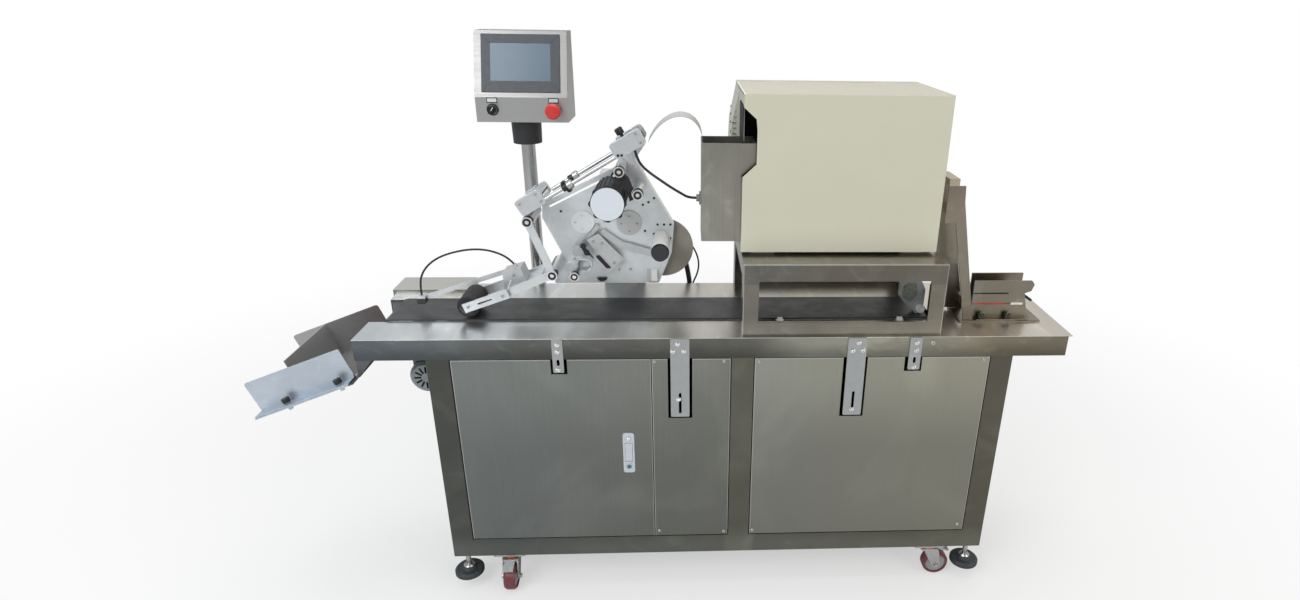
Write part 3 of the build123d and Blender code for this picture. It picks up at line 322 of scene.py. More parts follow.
red = plain("red_plastic", (0.62, 0.035, 0.03), 0.30, 0, 0.06, 90, 0.03)
orange = plain("orange_plastic", (0.65, 0.12, 0.03), 0.40, 0, 0.08, 120, 0.05)


def belt_material():
    m = Mat("belt_rubber", (0.021, 0.022, 0.024), 0.46)
    weave = m.node("ShaderNodeTexWave", wave_type="BANDS", bands_direction="DIAGONAL")
    weave.inputs["Scale"].default_value = 260
    m.link(m.coord, weave.inputs["Vector"])
    m.tint(m.noise((6, 60, 60), 4, 0.6), (0.034, 0.034, 0.036), 0.6)
    m.tint(m.noise((3, 400, 50), 2, 0.5, 0.62, 0.72), (0.06, 0.06, 0.06), 0.35)
    m.blend("Roughness", m.noise(24, 4), 0.36)
    m.bump(weave.outputs["Fac"], 0.12, 0.0003)
    return m


def display_material():
    m = Mat("display_glass", (0.100, 0.150, 0.208), 0.22)
    # Painted reflection on the glass: lighter towards the top and darker towards the right
    up = m.ramp(m.axis(2), z_at(570), z_at(680))
    side = m.ramp(m.axis(0), x_at(300), x_at(470))
    m.tint(up, (0.112, 0.163, 0.222), 0.5).tint(side, (0.078, 0.118, 0.160), 0.35)
    m.tint(m.noise(16, 3), (0.090, 0.135, 0.19), 0.2)
    m.bump(m.noise(500, 2), 0.02, 0.0002)
    return m


def dress(name, mat):
    for slot in nodes[name].material_slots:
        slot.material = mat.material


for mat, names in (
    (frame_steel, ("cabinet_frame", "long_rails", "cross_rails")),
    (panel_steel, ("front_panels", "skin_panels", "cabinet_door")),
    (table_steel, ("table_top",)),
    (belt_material(), ("conveyor_belt",)),
    (cover_steel, ("rear_cover",)),
    (tray_steel, ("tray_floor", "tray_walls", "tray_slide")),
    (stand_steel, ("printer_stand",)),
    (bin_steel, ("label_bin",)),
    (feeder_steel, ("feeder_frame", "feeder_guide")),
    (box_steel, ("screen_box",)),
    (zinc, ("caster_plates",)),
    (strap_zinc, ("hanging_brackets",)),
    (plate_alu, ("head_plate",)),
    (arm_alu, ("belt_bed", "head_column", "rod_blocks", "link_bar", "peel_unit")),
    (bright, ("guide_rods", "roller_shafts", "upper_roller", "lower_roller", "top_roller", "right_roller",
              "small_roller")),
    (rubber, ("press_roller", "sensor_cable", "bin_cable", "head_conduit", "loop_cable")),
    (black, ("rear_elbow", "selector_knob")),
    (reel_mat, ("label_reel",)),
    (beige, ("printer_cover",)),
    (red, ("stop_button",)),
    (lock_grey, ("lock_housing", "lock_lever")),
):
    for name in names:
        dress(name, mat)


def painted_room_reflection(mat, wide, amount):
    """Painted reflections of a room on brushed sheet: cooler to the left, warmer to the right, with painted
    shade and painted sheen in soft patches.
    """
    to_right = mat.ramp(mat.axis(0), x_at(0), x_at(TABLE_LENGTH))
    mat.shade(to_right, (1.12, 1.06, 0.94))
    mat.shade(mat.rest_of(to_right), (0.97, 1.02, 1.08))
    painted_shade_patch = mat.noise(wide, 3, 0.5, 0.30, 0.70, (11, 3, 6), 0.6)
    mat.shade(painted_shade_patch, (0.80, 0.80, 0.79), amount)
    # painted sheen: soft brighter patches
    glow = mat.noise(tuple(2.3 * w for w in wide), 3, 0.5, 0.52, 0.75, (2, 9, 1), 0.8)
    mat.shade(glow, (1.28, 1.28, 1.27), amount)


# Table: the apron painted dark as shade and paler towards its top, a pale top, and painted light and shade
# along the length of each

m = table_steel
along_table = m.axis(0)
apron = m.inside(z=(None, -1.5))
on_top = m.rest_of(apron)
m.tint(apron, (0.112, 0.114, 0.106), 0.95)
m.shade(apron, m.ramp(m.axis(2), z_at(-56), z_at(-8), 0.72, 1.25))
# Painted light and shade along the table: the apron cooler at its left end, shaded in the middle and lit
# towards the right, the top paler to the left and bluer to the right
for part, span, tone in (
    (apron, m.ramp(along_table, x_at(420), x_at(60)), (0.90, 0.97, 1.06)),
    (apron, m.band(0, x_at(420), x_at(950), 0.18), (0.80, 0.79, 0.79)),
    (apron, m.band(0, x_at(1120), x_at(1480), 0.15), (1.72, 1.72, 1.70)),
    (apron, m.ramp(along_table, x_at(1480), x_at(1600)), (1.18, 1.09, 1.00)),
    (on_top, m.ramp(along_table, x_at(900), x_at(100)), (1.20, 1.21, 1.24)),
    (on_top, m.ramp(along_table, x_at(1300), x_at(1700)), (1.0, 1.04, 1.14)),
):
    m.shade(m.times(part, span), tone)
painted_room_reflection(m, (7, 1.5, 14), 0.85)

# Cabinet frame: painted room reflections, a painted highlight on the post between the middle and right
# panels, low rails painted paler from 0.20 down to 0.12 m above the floor, the left side in painted shade,
# and black painted shade in the gaps by the panels

PANEL_TOP = -58.5
PANEL_FOOT = -607.5
LOW_RAIL_FROM, LOW_RAIL_TO = 0.20, 0.12
GAPS = ((226.6, 231, 0), (226.6, 231, 2.4), (1604.4, 1606.2, 0), (992, 993.8, 0))
m = frame_steel
painted_room_reflection(m, (4, 1.5, 5), 0.7)
m.shade(m.band(0, x_at(930), x_at(1000), 0.01), (1.22, 1.22, 1.18))
m.shade(m.ramp(m.axis(2), LOW_RAIL_FROM, LOW_RAIL_TO), (1.55, 1.62, 1.66))
m.shade(m.ramp(m.axis(0), x_at(1000), x_at(500)), (0.91, 0.89, 0.87))
# painted shade: the gaps by the panels go black and lose their metal shine
for gap_left, gap_right, gap_front in GAPS:
    gap = m.inside((gap_left, gap_right), (gap_front, 60), (PANEL_FOOT + 1.5, PANEL_TOP - 1.5))
    m.tint(gap, (0.004, 0.004, 0.004), 0.9).blend("Metallic", gap, 0.0)

# Panels: painted light makes the right one paler and all of them paler towards the top, over painted room
# reflections, and painted highlights where folded edges catch the light along tops and sides

PANELS = ((230.5, 729), (731.5, 932), (994, 1603.5))
m = panel_steel
right_panel = m.inside(x=(962, None))
high_part = m.ramp(m.axis(2), z_at(-360), z_at(-70))
m.tint(m.times(right_panel, 0.6), (0.262, 0.270, 0.262))
m.shade(high_part, (1.30, 1.30, 1.28), 0.8)
m.shade(m.times(right_panel, high_part), (1.18, 1.18, 1.15), 0.8)
painted_room_reflection(m, (1.3, 1.3, 1.0), 0.65)
strips = []
for left, right in PANELS:
    strips.append((left, right, PANEL_TOP - 2, PANEL_TOP))
    strips.append((left, left + 1.6, PANEL_FOOT, PANEL_TOP))
    strips.append((right - 1.2, right, PANEL_FOOT, PANEL_TOP))
edges = None
for left, right, foot, top in strips:
    strip = m.times(m.band(0, x_at(left), x_at(right)), m.band(2, z_at(foot), z_at(top)))
    edges = strip if edges is None else m.math("MAXIMUM", edges, strip)
m.tint(m.times(edges, m.inside(y=(None, 3))), (0.60, 0.61, 0.59), 0.55)

# Screen box: the leaning face is painted darker as shade

SCREEN_FACE_FOOT = (386, 355, 539)
leaning = box_steel.inside(z=(SCREEN_FACE_FOOT[2] + 0.4, None))
box_steel.shade(box_steel.times(leaning, box_steel.side_faces(0)), (0.64, 0.63, 0.62))

# Head plate: bright cut edges, two discs on its face, and a painted highlight in a strip along its long
# right edge

EDGE_HIGHLIGHT_X, EDGE_HIGHLIGHT_Z, EDGE_HIGHLIGHT_FOOT = 690, 402, 228
EDGE_HIGHLIGHT_NORMAL = (0.869, 0.495)
EDGE_HIGHLIGHT_WIDTH = 0.0032
DISCS = ((546, 234, 0.0306, (0.86, 0.89, 0.92)), (669, 231, 0.0334, (0.50, 0.51, 0.51)))
m = plate_alu
m.tint(m.side_faces(1), (0.93, 0.93, 0.88), 0.9)
for x, z, radius, tone in DISCS:
    m.tint(m.times(m.around(place(x, 0, z), 1, radius), m.inside(y=(None, 234.5))), tone, 0.8)
# painted highlight: a pale strip within a few millimetres of the plate's long right edge
off_x = m.times(m.math("SUBTRACT", m.axis(0), x_at(EDGE_HIGHLIGHT_X)), EDGE_HIGHLIGHT_NORMAL[0])
off_z = m.times(m.math("SUBTRACT", m.axis(2), z_at(EDGE_HIGHLIGHT_Z)), EDGE_HIGHLIGHT_NORMAL[1])
chamfer = m.math("GREATER_THAN", m.math("ADD", off_x, off_z), -EDGE_HIGHLIGHT_WIDTH)
m.tint(m.times(chamfer, m.band(2, z_at(EDGE_HIGHLIGHT_FOOT), z_at(EDGE_HIGHLIGHT_Z))), (0.97, 0.97, 0.95), 0.9)

# Stand: painted room reflections, painted highlights where folded edges catch the light, its top painted
# paler than its front, painted shade in a band under the top and painted light towards its foot

STAND_LEFT, STAND_RIGHT, STAND_TOP = 960, 1468, 190
m = stand_steel
painted_room_reflection(m, (9, 5, 9), 0.8)
stand_front = m.inside(y=(None, 13.5))
for axis, lo, hi in ((0, x_at(STAND_LEFT), x_at(STAND_LEFT + 1.6)),
                     (0, x_at(STAND_RIGHT - 1.6), x_at(STAND_RIGHT)),
                     (2, z_at(STAND_TOP - 2), z_at(STAND_TOP))):
    m.tint(m.times(m.band(axis, lo, hi), stand_front), (0.62, 0.62, 0.60), 0.55)
m.shade(m.rest_of(m.side_faces(2)), (1.85, 1.88, 1.98))
m.shade(m.band(2, z_at(140), z_at(186), 0.006), (0.80, 0.81, 0.84))
m.shade(m.ramp(m.axis(2), z_at(60), z_at(0)), (1.22, 1.23, 1.24))

# Printer cover: top face painted darker as shade, low part painted paler as light, a painted white highlight
# on its top left edge, and painted shade in the seam round its hatch

COVER_TOP = 583
m = beige
m.shade(m.rest_of(m.side_faces(2)), (0.90, 0.86, 0.88))
m.shade(m.ramp(m.axis(2), z_at(330), z_at(210)), (1.09, 1.09, 1.09))
m.tint(m.inside((None, 959.4), z=(COVER_TOP + 0.2, None)), (0.90, 0.90, 0.86), 0.8)
seam = m.inside((1035, 1420), (297, 343), (COVER_TOP, None))
groove = m.inside((1038, 1417), (301, 339), (COVER_TOP, None))
m.shade(m.math("SUBTRACT", seam, groove), (0.80, 0.80, 0.79))

# Tray: painted room reflections, the inner wall painted browner and darker towards the table as reflection
# and shade; the plate that hangs below it is painted dark as shade

m = tray_steel
painted_room_reflection(m, (9, 5, 9), 0.45)
inner_wall = m.inside(y=(30, None))
m.shade(inner_wall, (0.84, 0.76, 0.69))
m.shade(m.times(m.ramp(m.axis(0), x_at(-190), x_at(-20)), inner_wall), (0.58, 0.52, 0.48))
m.shade(m.inside((-9, None), (None, 380), (None, -50)), (0.26, 0.25, 0.24))

# Bin and feeder: painted room reflections, the feeder painted paler towards its top as light, and its warm
# upper edge

painted_room_reflection(bin_steel, (8, 5, 6), 0.8)
m = feeder_steel
painted_room_reflection(m, (9, 5, 9), 0.7)
m.shade(m.ramp(m.axis(2), z_at(120), z_at(330)), (1.14, 1.10, 1.04))
m.tint(m.inside(z=(366.3, None)), (0.60, 0.51, 0.39), 0.8)

# Levelling feet: rubber up to PAD_TOP metres above the floor, and steel over it

PAD_TOP = 0.0585
m = plain("foot_rubber", (0.036, 0.044, 0.052), 0.55, 0, 0.2, 110, 0.1)
steel_part = m.math("GREATER_THAN", m.axis(2), PAD_TOP)
m.tint(steel_part, (0.5, 0.5, 0.49)).blend("Metallic", steel_part, 1.0).blend("Roughness", steel_part, 0.3)
dress("levelling_feet", m)

# Screen post with a black collar

m = plain("post_steel", (0.50, 0.50, 0.50), 0.16, 1.0, 0.05, 50, 0.02)
collar = m.inside(z=(408, 473.5))
m.tint(collar, (0.022, 0.022, 0.024)).blend("Metallic", collar, 0.0).blend("Roughness", collar, 0.45)
dress("screen_post", m)

# Drive roller with the pale disc of its knob

m = plain("drive_rubber", (0.020, 0.020, 0.022), 0.50, 0, 0.2, 110, 0.12)
disc = m.inside(y=(None, 101.8))
m.tint(disc, (0.66, 0.71, 0.77)).blend("Roughness", disc, 0.33)
dress("drive_roller", m)

# Head arms with the white tension motor and its black end

m = plain("arm_mixed", (0.60, 0.61, 0.62), 0.36, 0.75, 0.07, 80, 0.06)
tension_motor = m.inside(x=(725, None))
m.tint(tension_motor, (0.82, 0.83, 0.81)).blend("Metallic", tension_motor, 0.0)
m.tint(m.times(tension_motor, m.inside(y=(None, 118.5))), (0.02, 0.022, 0.026))
dress("head_arms", m)

# Gear motor: metal gearbox, grey cowl, and painted black shade behind its slots

COWL_MIDDLE = (143, 0, -139)
m = plain("motor_paint", (0.16, 0.17, 0.18), 0.45, 0.2, 0.1, 80, 0.12)
gearbox = m.inside(y=(195, None))
m.tint(gearbox, (0.40, 0.40, 0.40)).blend("Metallic", gearbox, 0.8)
cowl = m.inside(y=(None, 92.5))
m.tint(cowl, (0.235, 0.265, 0.28)).blend("Metallic", cowl, 0.3)
slot_floor = m.band(1, y_at(67.5), y_at(70), 0.0002)
slot_floor = m.times(slot_floor, m.around(place(*COWL_MIDDLE), 1, 0.0325))
m.tint(slot_floor, (0.006, 0.006, 0.006)).blend("Roughness", slot_floor, 0.8)
dress("gear_motor", m)

# Sensor arm with its black eye

m = plain("sensor_mixed", (0.62, 0.63, 0.64), 0.36, 0.75, 0.07, 80, 0.06)
eye = m.inside((None, 136), z=(None, 45))
m.tint(eye, (0.03, 0.03, 0.03)).blend("Metallic", eye, 0.0)
dress("sensor_arm", m)

# Printer body with the bay behind its outlet painted black as shade

body_paint = plain("printer_paint", (0.50, 0.505, 0.44), 0.42, 0, 0.02, 9, 0.10, 1400)
m = body_paint
bay = m.inside((None, 1010.5), (None, 215.5), (379.5, 556.5))
m.tint(bay, (0.004, 0.004, 0.004)).blend("Roughness", bay, 0.7)
dress("printer_body", m)

# Label web with darker edges and a line at a third of its width, in metres

EDGE_WIDTH, LINE_HALF = 0.0035, 0.0012
BEFORE, BEHIND = -1, 9
m = plain("label_liner", (0.47, 0.47, 0.46), 0.30, 0, 0.03, 30, 0.0)
web_low, web_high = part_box("label_web")
third = (web_low.y * 2 + web_high.y) / 3
for lo, hi in ((BEFORE, web_low.y + EDGE_WIDTH), (web_high.y - EDGE_WIDTH, BEHIND),
               (third - LINE_HALF, third + LINE_HALF)):
    m.tint(m.band(1, lo, hi), (0.12, 0.12, 0.118), 0.85)
dress("label_web", m)

# Casters: red wheels with a grey hub and worn patches

CASTERS = ("front_left", "front_right", "rear_left", "rear_right")


def wheel_line(caster):
    """Middle of a wheel, and the axis it spins about as 0 or 1."""
    low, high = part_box("caster_wheel_" + caster)
    return (low + high) / 2, 0 if (high.x - low.x) < (high.y - low.y) else 1


def wheel_material(name, centre, axis):
    m = plain(name, (0.170, 0.037, 0.048), 0.34, 0, 0.15, 70, 0.10)
    hub = m.around(centre, axis, 0.0292)
    m.tint(hub, (0.34, 0.34, 0.35)).blend("Roughness", hub, 0.5)
    m.tint(m.noise(140, 5, 0.6, 0.60, 0.75, (6, 1, 3)), (0.42, 0.38, 0.36), 0.5)
    return m


for caster in CASTERS:
    dress("caster_fork_" + caster, zinc)
    dress("caster_wheel_" + caster, wheel_material("wheel_" + caster, *wheel_line(caster)))

# Mesh building

FRONT = (0, -1, 0)
UP = (0, 0, 1)


def basis(axis):
    """Two directions square to an axis, and the axis at unit length."""
    z = Vector(axis).normalized()
    x = Vector((1, 0, 0)) if abs(z.x) < 0.9 else Vector((0, 1, 0))
    y = z.cross(x).normalized()
    return y.cross(z).normalized(), y, z


class Piece:
    """Collects solids in one mesh; each has one of the piece's materials, given by number."""

    def __init__(self, name, body, *mats):
        self.name = name
        self.body = body
        self.mats = mats
        self.points, self.faces, self.numbers = [], [], []

    def add(self, points, faces, mat):
        first = len(self.points)
        self.points += [Vector(v) for v in points]
        self.faces += [[i + first for i in f] for f in faces]
        self.numbers += [mat] * len(faces)

    def lathe(self, at, axis, profile, mat=0, seg=24, lobes=0, lobe=0.0, turn=0.0):
        """Revolve (radius in mm, height in mm) points about an axis through at."""
        bx, by, bz = basis(axis)
        at = Vector(at)
        points, rings = [], []
        for r, h in profile:
            if r == 0:
                rings.append([len(points)])
                points.append(at + bz * h / 1000)
                continue
            ring = []
            for i in range(seg):
                a = 2 * math.pi * i / seg + turn
                k = r * (1 + lobe * math.cos(lobes * a)) / 1000 if lobes else r / 1000
                ring.append(len(points))
                points.append(at + bx * math.cos(a) * k + by * math.sin(a) * k + bz * h / 1000)
            rings.append(ring)
        faces = []
        for a, b in zip(rings, rings[1:]):
            for i in range(seg):
                j = (i + 1) % seg
                if len(a) == 1:
                    faces.append([a[0], b[j], b[i]])
                elif len(b) == 1:
                    faces.append([a[i], a[j], b[0]])
                else:
                    faces.append([a[i], a[j], b[j], b[i]])
        self.add(points, faces, mat)

    def rod(self, at, axis, radius, length, mat=0, seg=24):
        """Plain round bar from at along an axis."""
        self.lathe(at, axis, [(0, 0), (radius, 0), (radius, length), (0, length)], mat, seg)

    def prism(self, outline, depth, mat=0):
        """Closed outline of points pushed by a vector."""
        near = [Vector(p) for p in outline]
        n = len(near)
        faces = [list(range(n))[::-1], list(range(n, 2 * n))]
        faces += [[i, (i + 1) % n, n + (i + 1) % n, n + i] for i in range(n)]
        self.add(near + [p + Vector(depth) for p in near], faces, mat)

    def plate(self, y, thick, outline, mat=0):
        """Flat plate: an outline of (x, z) places at a depth y, and its thickness in mm."""
        self.prism([place(x, y, z) for x, z in outline], (0, thick / 1000, 0), mat)

    def block(self, a, b, mat=0, chamfer=0.0):
        """Straight block between two corners, as in place(), with chamfered long edges."""
        a, b = place(*a), place(*b)
        lo = Vector([min(a[i], b[i]) for i in range(3)])
        hi = Vector([max(a[i], b[i]) for i in range(3)])
        c = chamfer / 1000
        outline = [(lo.x, lo.z), (hi.x, lo.z), (hi.x, hi.z), (lo.x, hi.z)]
        if c:
            outline = [(lo.x + c, lo.z), (hi.x - c, lo.z), (hi.x, lo.z + c), (hi.x, hi.z - c),
                       (hi.x - c, hi.z), (lo.x + c, hi.z), (lo.x, hi.z - c), (lo.x, lo.z + c)]
        self.prism([(x, lo.y, z) for x, z in outline], (0, hi.y - lo.y, 0), mat)

    def screw(self, at, axis, r, mat=0, kind="pan"):
        """Screw head: pan with a round recess, socket cap, or hexagon with its washer."""
        turn = 0.3
        if kind == "pan":
            self.lathe(at, axis, [(0, 0), (r, 0), (r, r * .12), (r * .8, r * .38), (r * .28, r * .5),
                                  (r * .24, r * .2), (0, r * .2)], mat, 20)
        elif kind == "cap":
            head = [(0, 0), (r, 0), (r, r * 1.0), (r * .88, r * 1.1), (r * .52, r * 1.1)]
            self.lathe(at, axis, head, mat, 20)
            self.lathe(Vector(at) + Vector(axis).normalized() * r * .0011, axis,
                       [(r * .60, 0), (r * .52, -r * .6), (0, -r * .6)], mat, 6, turn=turn)
        else:
            self.lathe(at, axis, [(0, 0), (r * 1.5, 0), (r * 1.5, r * .22), (r * 1.0, r * .22)], mat)
            head = [(r, r * .22), (r, r * .85), (r * .86, r * 1.0), (0, r * 1.0)]
            self.lathe(at, axis, head, mat, 6, turn=turn)

    def make(self, bevel=0.0):
        """Put the mesh in the scene on its body; a bevel in mm rounds its sharp edges."""
        mesh = bpy.data.meshes.new(self.name)
        mesh.from_pydata(self.points, [], self.faces)
        for polygon, number in zip(mesh.polygons, self.numbers):
            polygon.material_index = number
        for mat in self.mats:
            mesh.materials.append(mat.material)
        bm = bmesh.new()
        bm.from_mesh(mesh)
        bmesh.ops.recalc_face_normals(bm, faces=bm.faces)
        bm.to_mesh(mesh)
        bm.free()
        mesh.shade_smooth()
        mesh.set_sharp_from_angle(angle=math.radians(32))
        o = add_object(self.name, mesh)
        if bevel:
            rounding = o.modifiers.new("bevel", "BEVEL")
            rounding.width = bevel / 1000
            rounding.segments = 2
            rounding.limit_method = "ANGLE"
        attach(o, self.body)
        return o


# Cords


def cord(name, body, points, y, radius, mat):
    data = bpy.data.curves.new(name, "CURVE")
    data.dimensions = "3D"
    line = data.splines.new("NURBS")
    line.points.add(len(points) - 1)
    for p, (x, z) in zip(line.points, points):
        p.co = (*place(x, y, z), 1)
    line.order_u = 3
    line.use_endpoint_u = True
    line.resolution_u = 10
    data.bevel_depth = radius / 1000
    data.bevel_resolution = 5
    data.use_fill_caps = True
    data.materials.append(mat.material)
    o = add_object(name, data)
    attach(o, body)
    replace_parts(o, name.removesuffix("_line"))


cord("sensor_cable_line", "machine",
     ((122, 52), (122, 84), (131, 112), (152, 138), (183, 158), (223, 171), (265, 178), (305, 176),
      (340, 164), (360, 150), (370, 138)), y=172, radius=2.6, mat=rubber)
cord("bin_cable_line", "machine",
     ((695, 440), (701, 417), (714, 398), (733, 382), (757, 365), (783, 347), (808, 332), (827, 321),
      (846, 321)), y=150, radius=3.2, mat=rubber)
cord("head_conduit_line", "machine",
     ((698, 190), (727, 190), (756, 174), (781, 145), (801, 109), (815, 69), (825, 26), (831, -18),
      (828, -61), (828, -100)), y=424, radius=7.5, mat=conduit_mat)
cord("loop_cable_line", "machine",
     ((698, 152), (730, 152), (762, 150), (790, 141), (815, 125), (838, 101), (853, 72), (859, 40), (853, 9),
      (840, -18), (834, -48), (832, -76), (832, -100)), y=444, radius=2.5,
     mat=rubber)

# Cabinet: screws of the panels and one in the apron, and the brackets' bolts

PANEL_SCREWS = ((738, -66), (915, -66), (742, -592), (922, -598), (1004, -68), (1589, -67), (1002, -596),
                (1588, -589))
BRACKET_BOLTS = ((499, -14), (498, -33), (497, -83), (797, -14), (785, -34), (813, -34), (799, -171),
                 (1256, -14), (1242, -36), (1268, -35), (1252, -206), (1405, -15), (1406, -36), (1404, -84))
p = Piece("panel_screws", "machine", zinc)
for x, z in PANEL_SCREWS:
    p.screw(place(x, 2, z), FRONT, 4.6)
p.screw(place(1448, 0, -18), FRONT, 6)
p.make()

p = Piece("bracket_bolts", "machine", bright)
for x, z in BRACKET_BOLTS:
    p.lathe(place(x, -4, z), FRONT, [(0, 0), (6.4, 0), (6.4, 1.0), (4.4, 1.0)])
    p.screw(place(x, -5, z), FRONT, 4.2, kind="cap")
p.make()

# Casters: an orange dust ring under each plate, and a nut at each end of the axle

SWIVELS_X = {"left": 322, "right": 1520}
SWIVELS_Y = {"front": 30.5, "rear": 361.5}
SWIVELS_Z = -680
AXLE_HALF = 0.0225
for caster in CASTERS:
    end, side = caster.split("_")
    swivel = place(SWIVELS_X[side], SWIVELS_Y[end], SWIVELS_Z) - Vector((0, 0, 0.0005))
    p = Piece("dust_ring_" + caster, "machine", orange)
    p.lathe(swivel, UP, [(21.1, 0), (24, 0), (25, 2.5), (24, 7), (21.1, 8)], seg=40)
    p.make()
    centre, line = wheel_line(caster)
    axle = Vector((1 - line, line, 0))
    p = Piece("axle_nuts_" + caster, "fork_" + caster, zinc)
    for way in (-1, 1):
        p.screw(centre + axle * way * AXLE_HALF, axle * way, 6.2, kind="hex")
    p.make()

# Screen box: bezel and display on its leaning face, which goes 57 back over a rise of 164

lean = math.atan2(57, 164)
face_up = Vector((0, math.sin(lean), math.cos(lean)))
face_out = Vector((0, -math.cos(lean), math.sin(lean)))
BEZEL_HALF, BEZEL_FOOT, BEZEL_TOP, BEZEL_WIDTH = 102.3, 12.7, 163.8, 24
BEZEL_BACK, BEZEL_FRONT = 0.2, 4.0
DISPLAY_HALF, DISPLAY_FOOT, DISPLAY_TOP, DISPLAY_OUT = 79, 41, 140.4, 3.05
SILL_FOOT, SILL_TOP = 36, 41.8


def on_face(u, v, out):
    """Point of the screen's face: across from its middle, up from its foot and out from it."""
    at = place(*SCREEN_FACE_FOOT) + Vector((u / 1000, 0, 0))
    return at + face_up * (v / 1000) + face_out * (out / 1000)


def face_corners(half, foot, top):
    return [(-half, foot), (half, foot), (half, top), (-half, top)]


p = Piece("screen_bezel", "screen", bezel_grey)
outer = face_corners(BEZEL_HALF, BEZEL_FOOT, BEZEL_TOP)
inner = face_corners(BEZEL_HALF - BEZEL_WIDTH, BEZEL_FOOT + BEZEL_WIDTH, BEZEL_TOP - BEZEL_WIDTH)
for i in range(4):
    j = (i + 1) % 4
    bar = [on_face(u, v, BEZEL_BACK) for u, v in (outer[i], outer[j], inner[j], inner[i])]
    p.prism(bar, face_out * ((BEZEL_FRONT - BEZEL_BACK) / 1000))
sill = [on_face(u, v, DISPLAY_OUT) for u, v in face_corners(DISPLAY_HALF, SILL_FOOT, SILL_TOP)]
p.prism(sill, face_out * ((BEZEL_FRONT - DISPLAY_OUT) / 1000))
p.make(0.8)

p = Piece("screen_display", "screen", display_material())
glass = [on_face(u, v, DISPLAY_OUT) for u, v in face_corners(DISPLAY_HALF, DISPLAY_FOOT, DISPLAY_TOP)]
p.prism(glass, face_out * 0.0005)
p.make()

# Screen box: blank plates beside the selector and the stop button, the selector's collar and pointer

SELECTOR_X, SELECTOR_Z = 309, 507
p = Piece("control_plates", "screen", plate_alu, black)
for left, right in ((297, 321), (458.5, 481.5)):
    p.block((left - 2, 354.0, 524), (right + 2, 354.7, 537.6), 1)
    p.block((left, 353.5, 526.4), (right, 354.2, 535.6), 0, 0.4)
p.lathe(place(SELECTOR_X, 355, SELECTOR_Z), FRONT,
        [(0, 0), (15.5, 0), (15.5, 2.4), (14, 3.4), (12.2, 3.4), (12.2, 0.5)], 1, 40)
p.make()

p = Piece("selector_pointer", "selector_knob", white)
knob_front = (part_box("selector_knob")[0].y - TABLE_FRONT) * 1000
pointing = Vector((0.5, 0, 0.87)).normalized()
side = Vector((pointing.z, 0, -pointing.x)) * 0.0009
tip, tail = (place(SELECTOR_X, knob_front, SELECTOR_Z) + pointing * k for k in (0.0095, -0.0015))
p.prism([tail - side, tip - side, tip + side, tail + side], (0, -0.0004, 0))
p.make()

# Head: ends of the rollers, as x, z, radius and the place of the front end

ROLLERS = {"upper_roller": (426, 267, 14.7, 125), "lower_roller": (478, 126, 15.2, 125),
           "top_roller": (655, 388, 13.8, 150), "right_roller": (700, 333, 15.6, 139),
           "small_roller": (534, 123, 11.4, 125)}
for name, (x, z, r, front) in ROLLERS.items():
    p = Piece(name + "_bearing", name, black)
    p.lathe(place(x, front, z), FRONT,
            [(6.3, -0.2), (r - 1.4, -0.2), (r - 1.4, 0.7), (r - 2.4, 1.1), (6.3, 1.1)], 0, 32)
    p.make()
    p = Piece(name + "_cap", "machine", bright, black)
    shaft_end = place(x, front - 16, z)
    washer = min(10.5, r - 2)
    p.lathe(shaft_end, FRONT, [(5.2, -0.3), (washer, -0.3), (washer, 0.5), (5.2, 0.5)], 1, 32)
    p.lathe(shaft_end, FRONT, [(0, 0), (4.6, 0), (4.6, 1.8), (3.9, 2.4), (0, 2.4)])
    p.make()

p = Piece("press_roller_ends", "press_roller", black)
p.lathe(place(256, 117, 39), FRONT, [(7.2, -0.3), (21.5, -0.3), (21.5, 1.2), (19, 2.0), (7.2, 2.0)], 0, 40)
p.make()

# Head: clamp blocks on a slope, each of two cheeks with bars and a web plate between them

HEAD_SLOPE = math.radians(30.8)
LOWER_BLOCK, UPPER_BLOCK = (437, 315), (680, 460)
out = Vector((-math.sin(HEAD_SLOPE), 0, math.cos(HEAD_SLOPE)))
along = Vector((math.cos(HEAD_SLOPE), 0, math.sin(HEAD_SLOPE)))


def by_block(block, u, v, y):
    """Point u along and v across a tilted clamp block, at a depth y."""
    return place(block[0], y, block[1]) + along * (u / 1000) + out * (v / 1000)


def rounded_rect(half_u, half_v, r, n=5):
    """Corner points of a rounded rectangle about its middle."""
    points = []
    for i, (cu, cv) in enumerate(((1, 1), (-1, 1), (-1, -1), (1, -1))):
        for k in range(n + 1):
            a = math.pi / 2 * (i + k / n)
            points.append((cu * (half_u - r) + r * math.cos(a), cv * (half_v - r) + r * math.sin(a)))
    return points


CHEEK_FRONT, CHEEK_THICK, REAR_FRONT, REAR_THICK = 115, 12, 225, 10
BETWEEN = REAR_FRONT - CHEEK_FRONT - CHEEK_THICK
p = Piece("clamp_blocks", "machine", clamp_alu, bright, disc_alu)
for block, half in ((LOWER_BLOCK, 35), (UPPER_BLOCK, 42)):
    for y, depth, shrink in ((CHEEK_FRONT, CHEEK_THICK, 0), (REAR_FRONT, REAR_THICK, 4)):
        cheek = rounded_rect(half - shrink, 21 - shrink, 8)
        p.prism([by_block(block, u, v, y) for u, v in cheek], (0, depth / 1000, 0))
    for u in (-half + 13, half - 13):
        p.rod(by_block(block, u, -7, CHEEK_FRONT + CHEEK_THICK), (0, 1, 0), 7, BETWEEN, 1)
    web_plate = ((-half + 4, 3), (half - 4, 3), (half - 4, 5), (-half + 4, 5))
    p.prism([by_block(block, u, v, CHEEK_FRONT + CHEEK_THICK) for u, v in web_plate], (0, BETWEEN / 1000, 0))
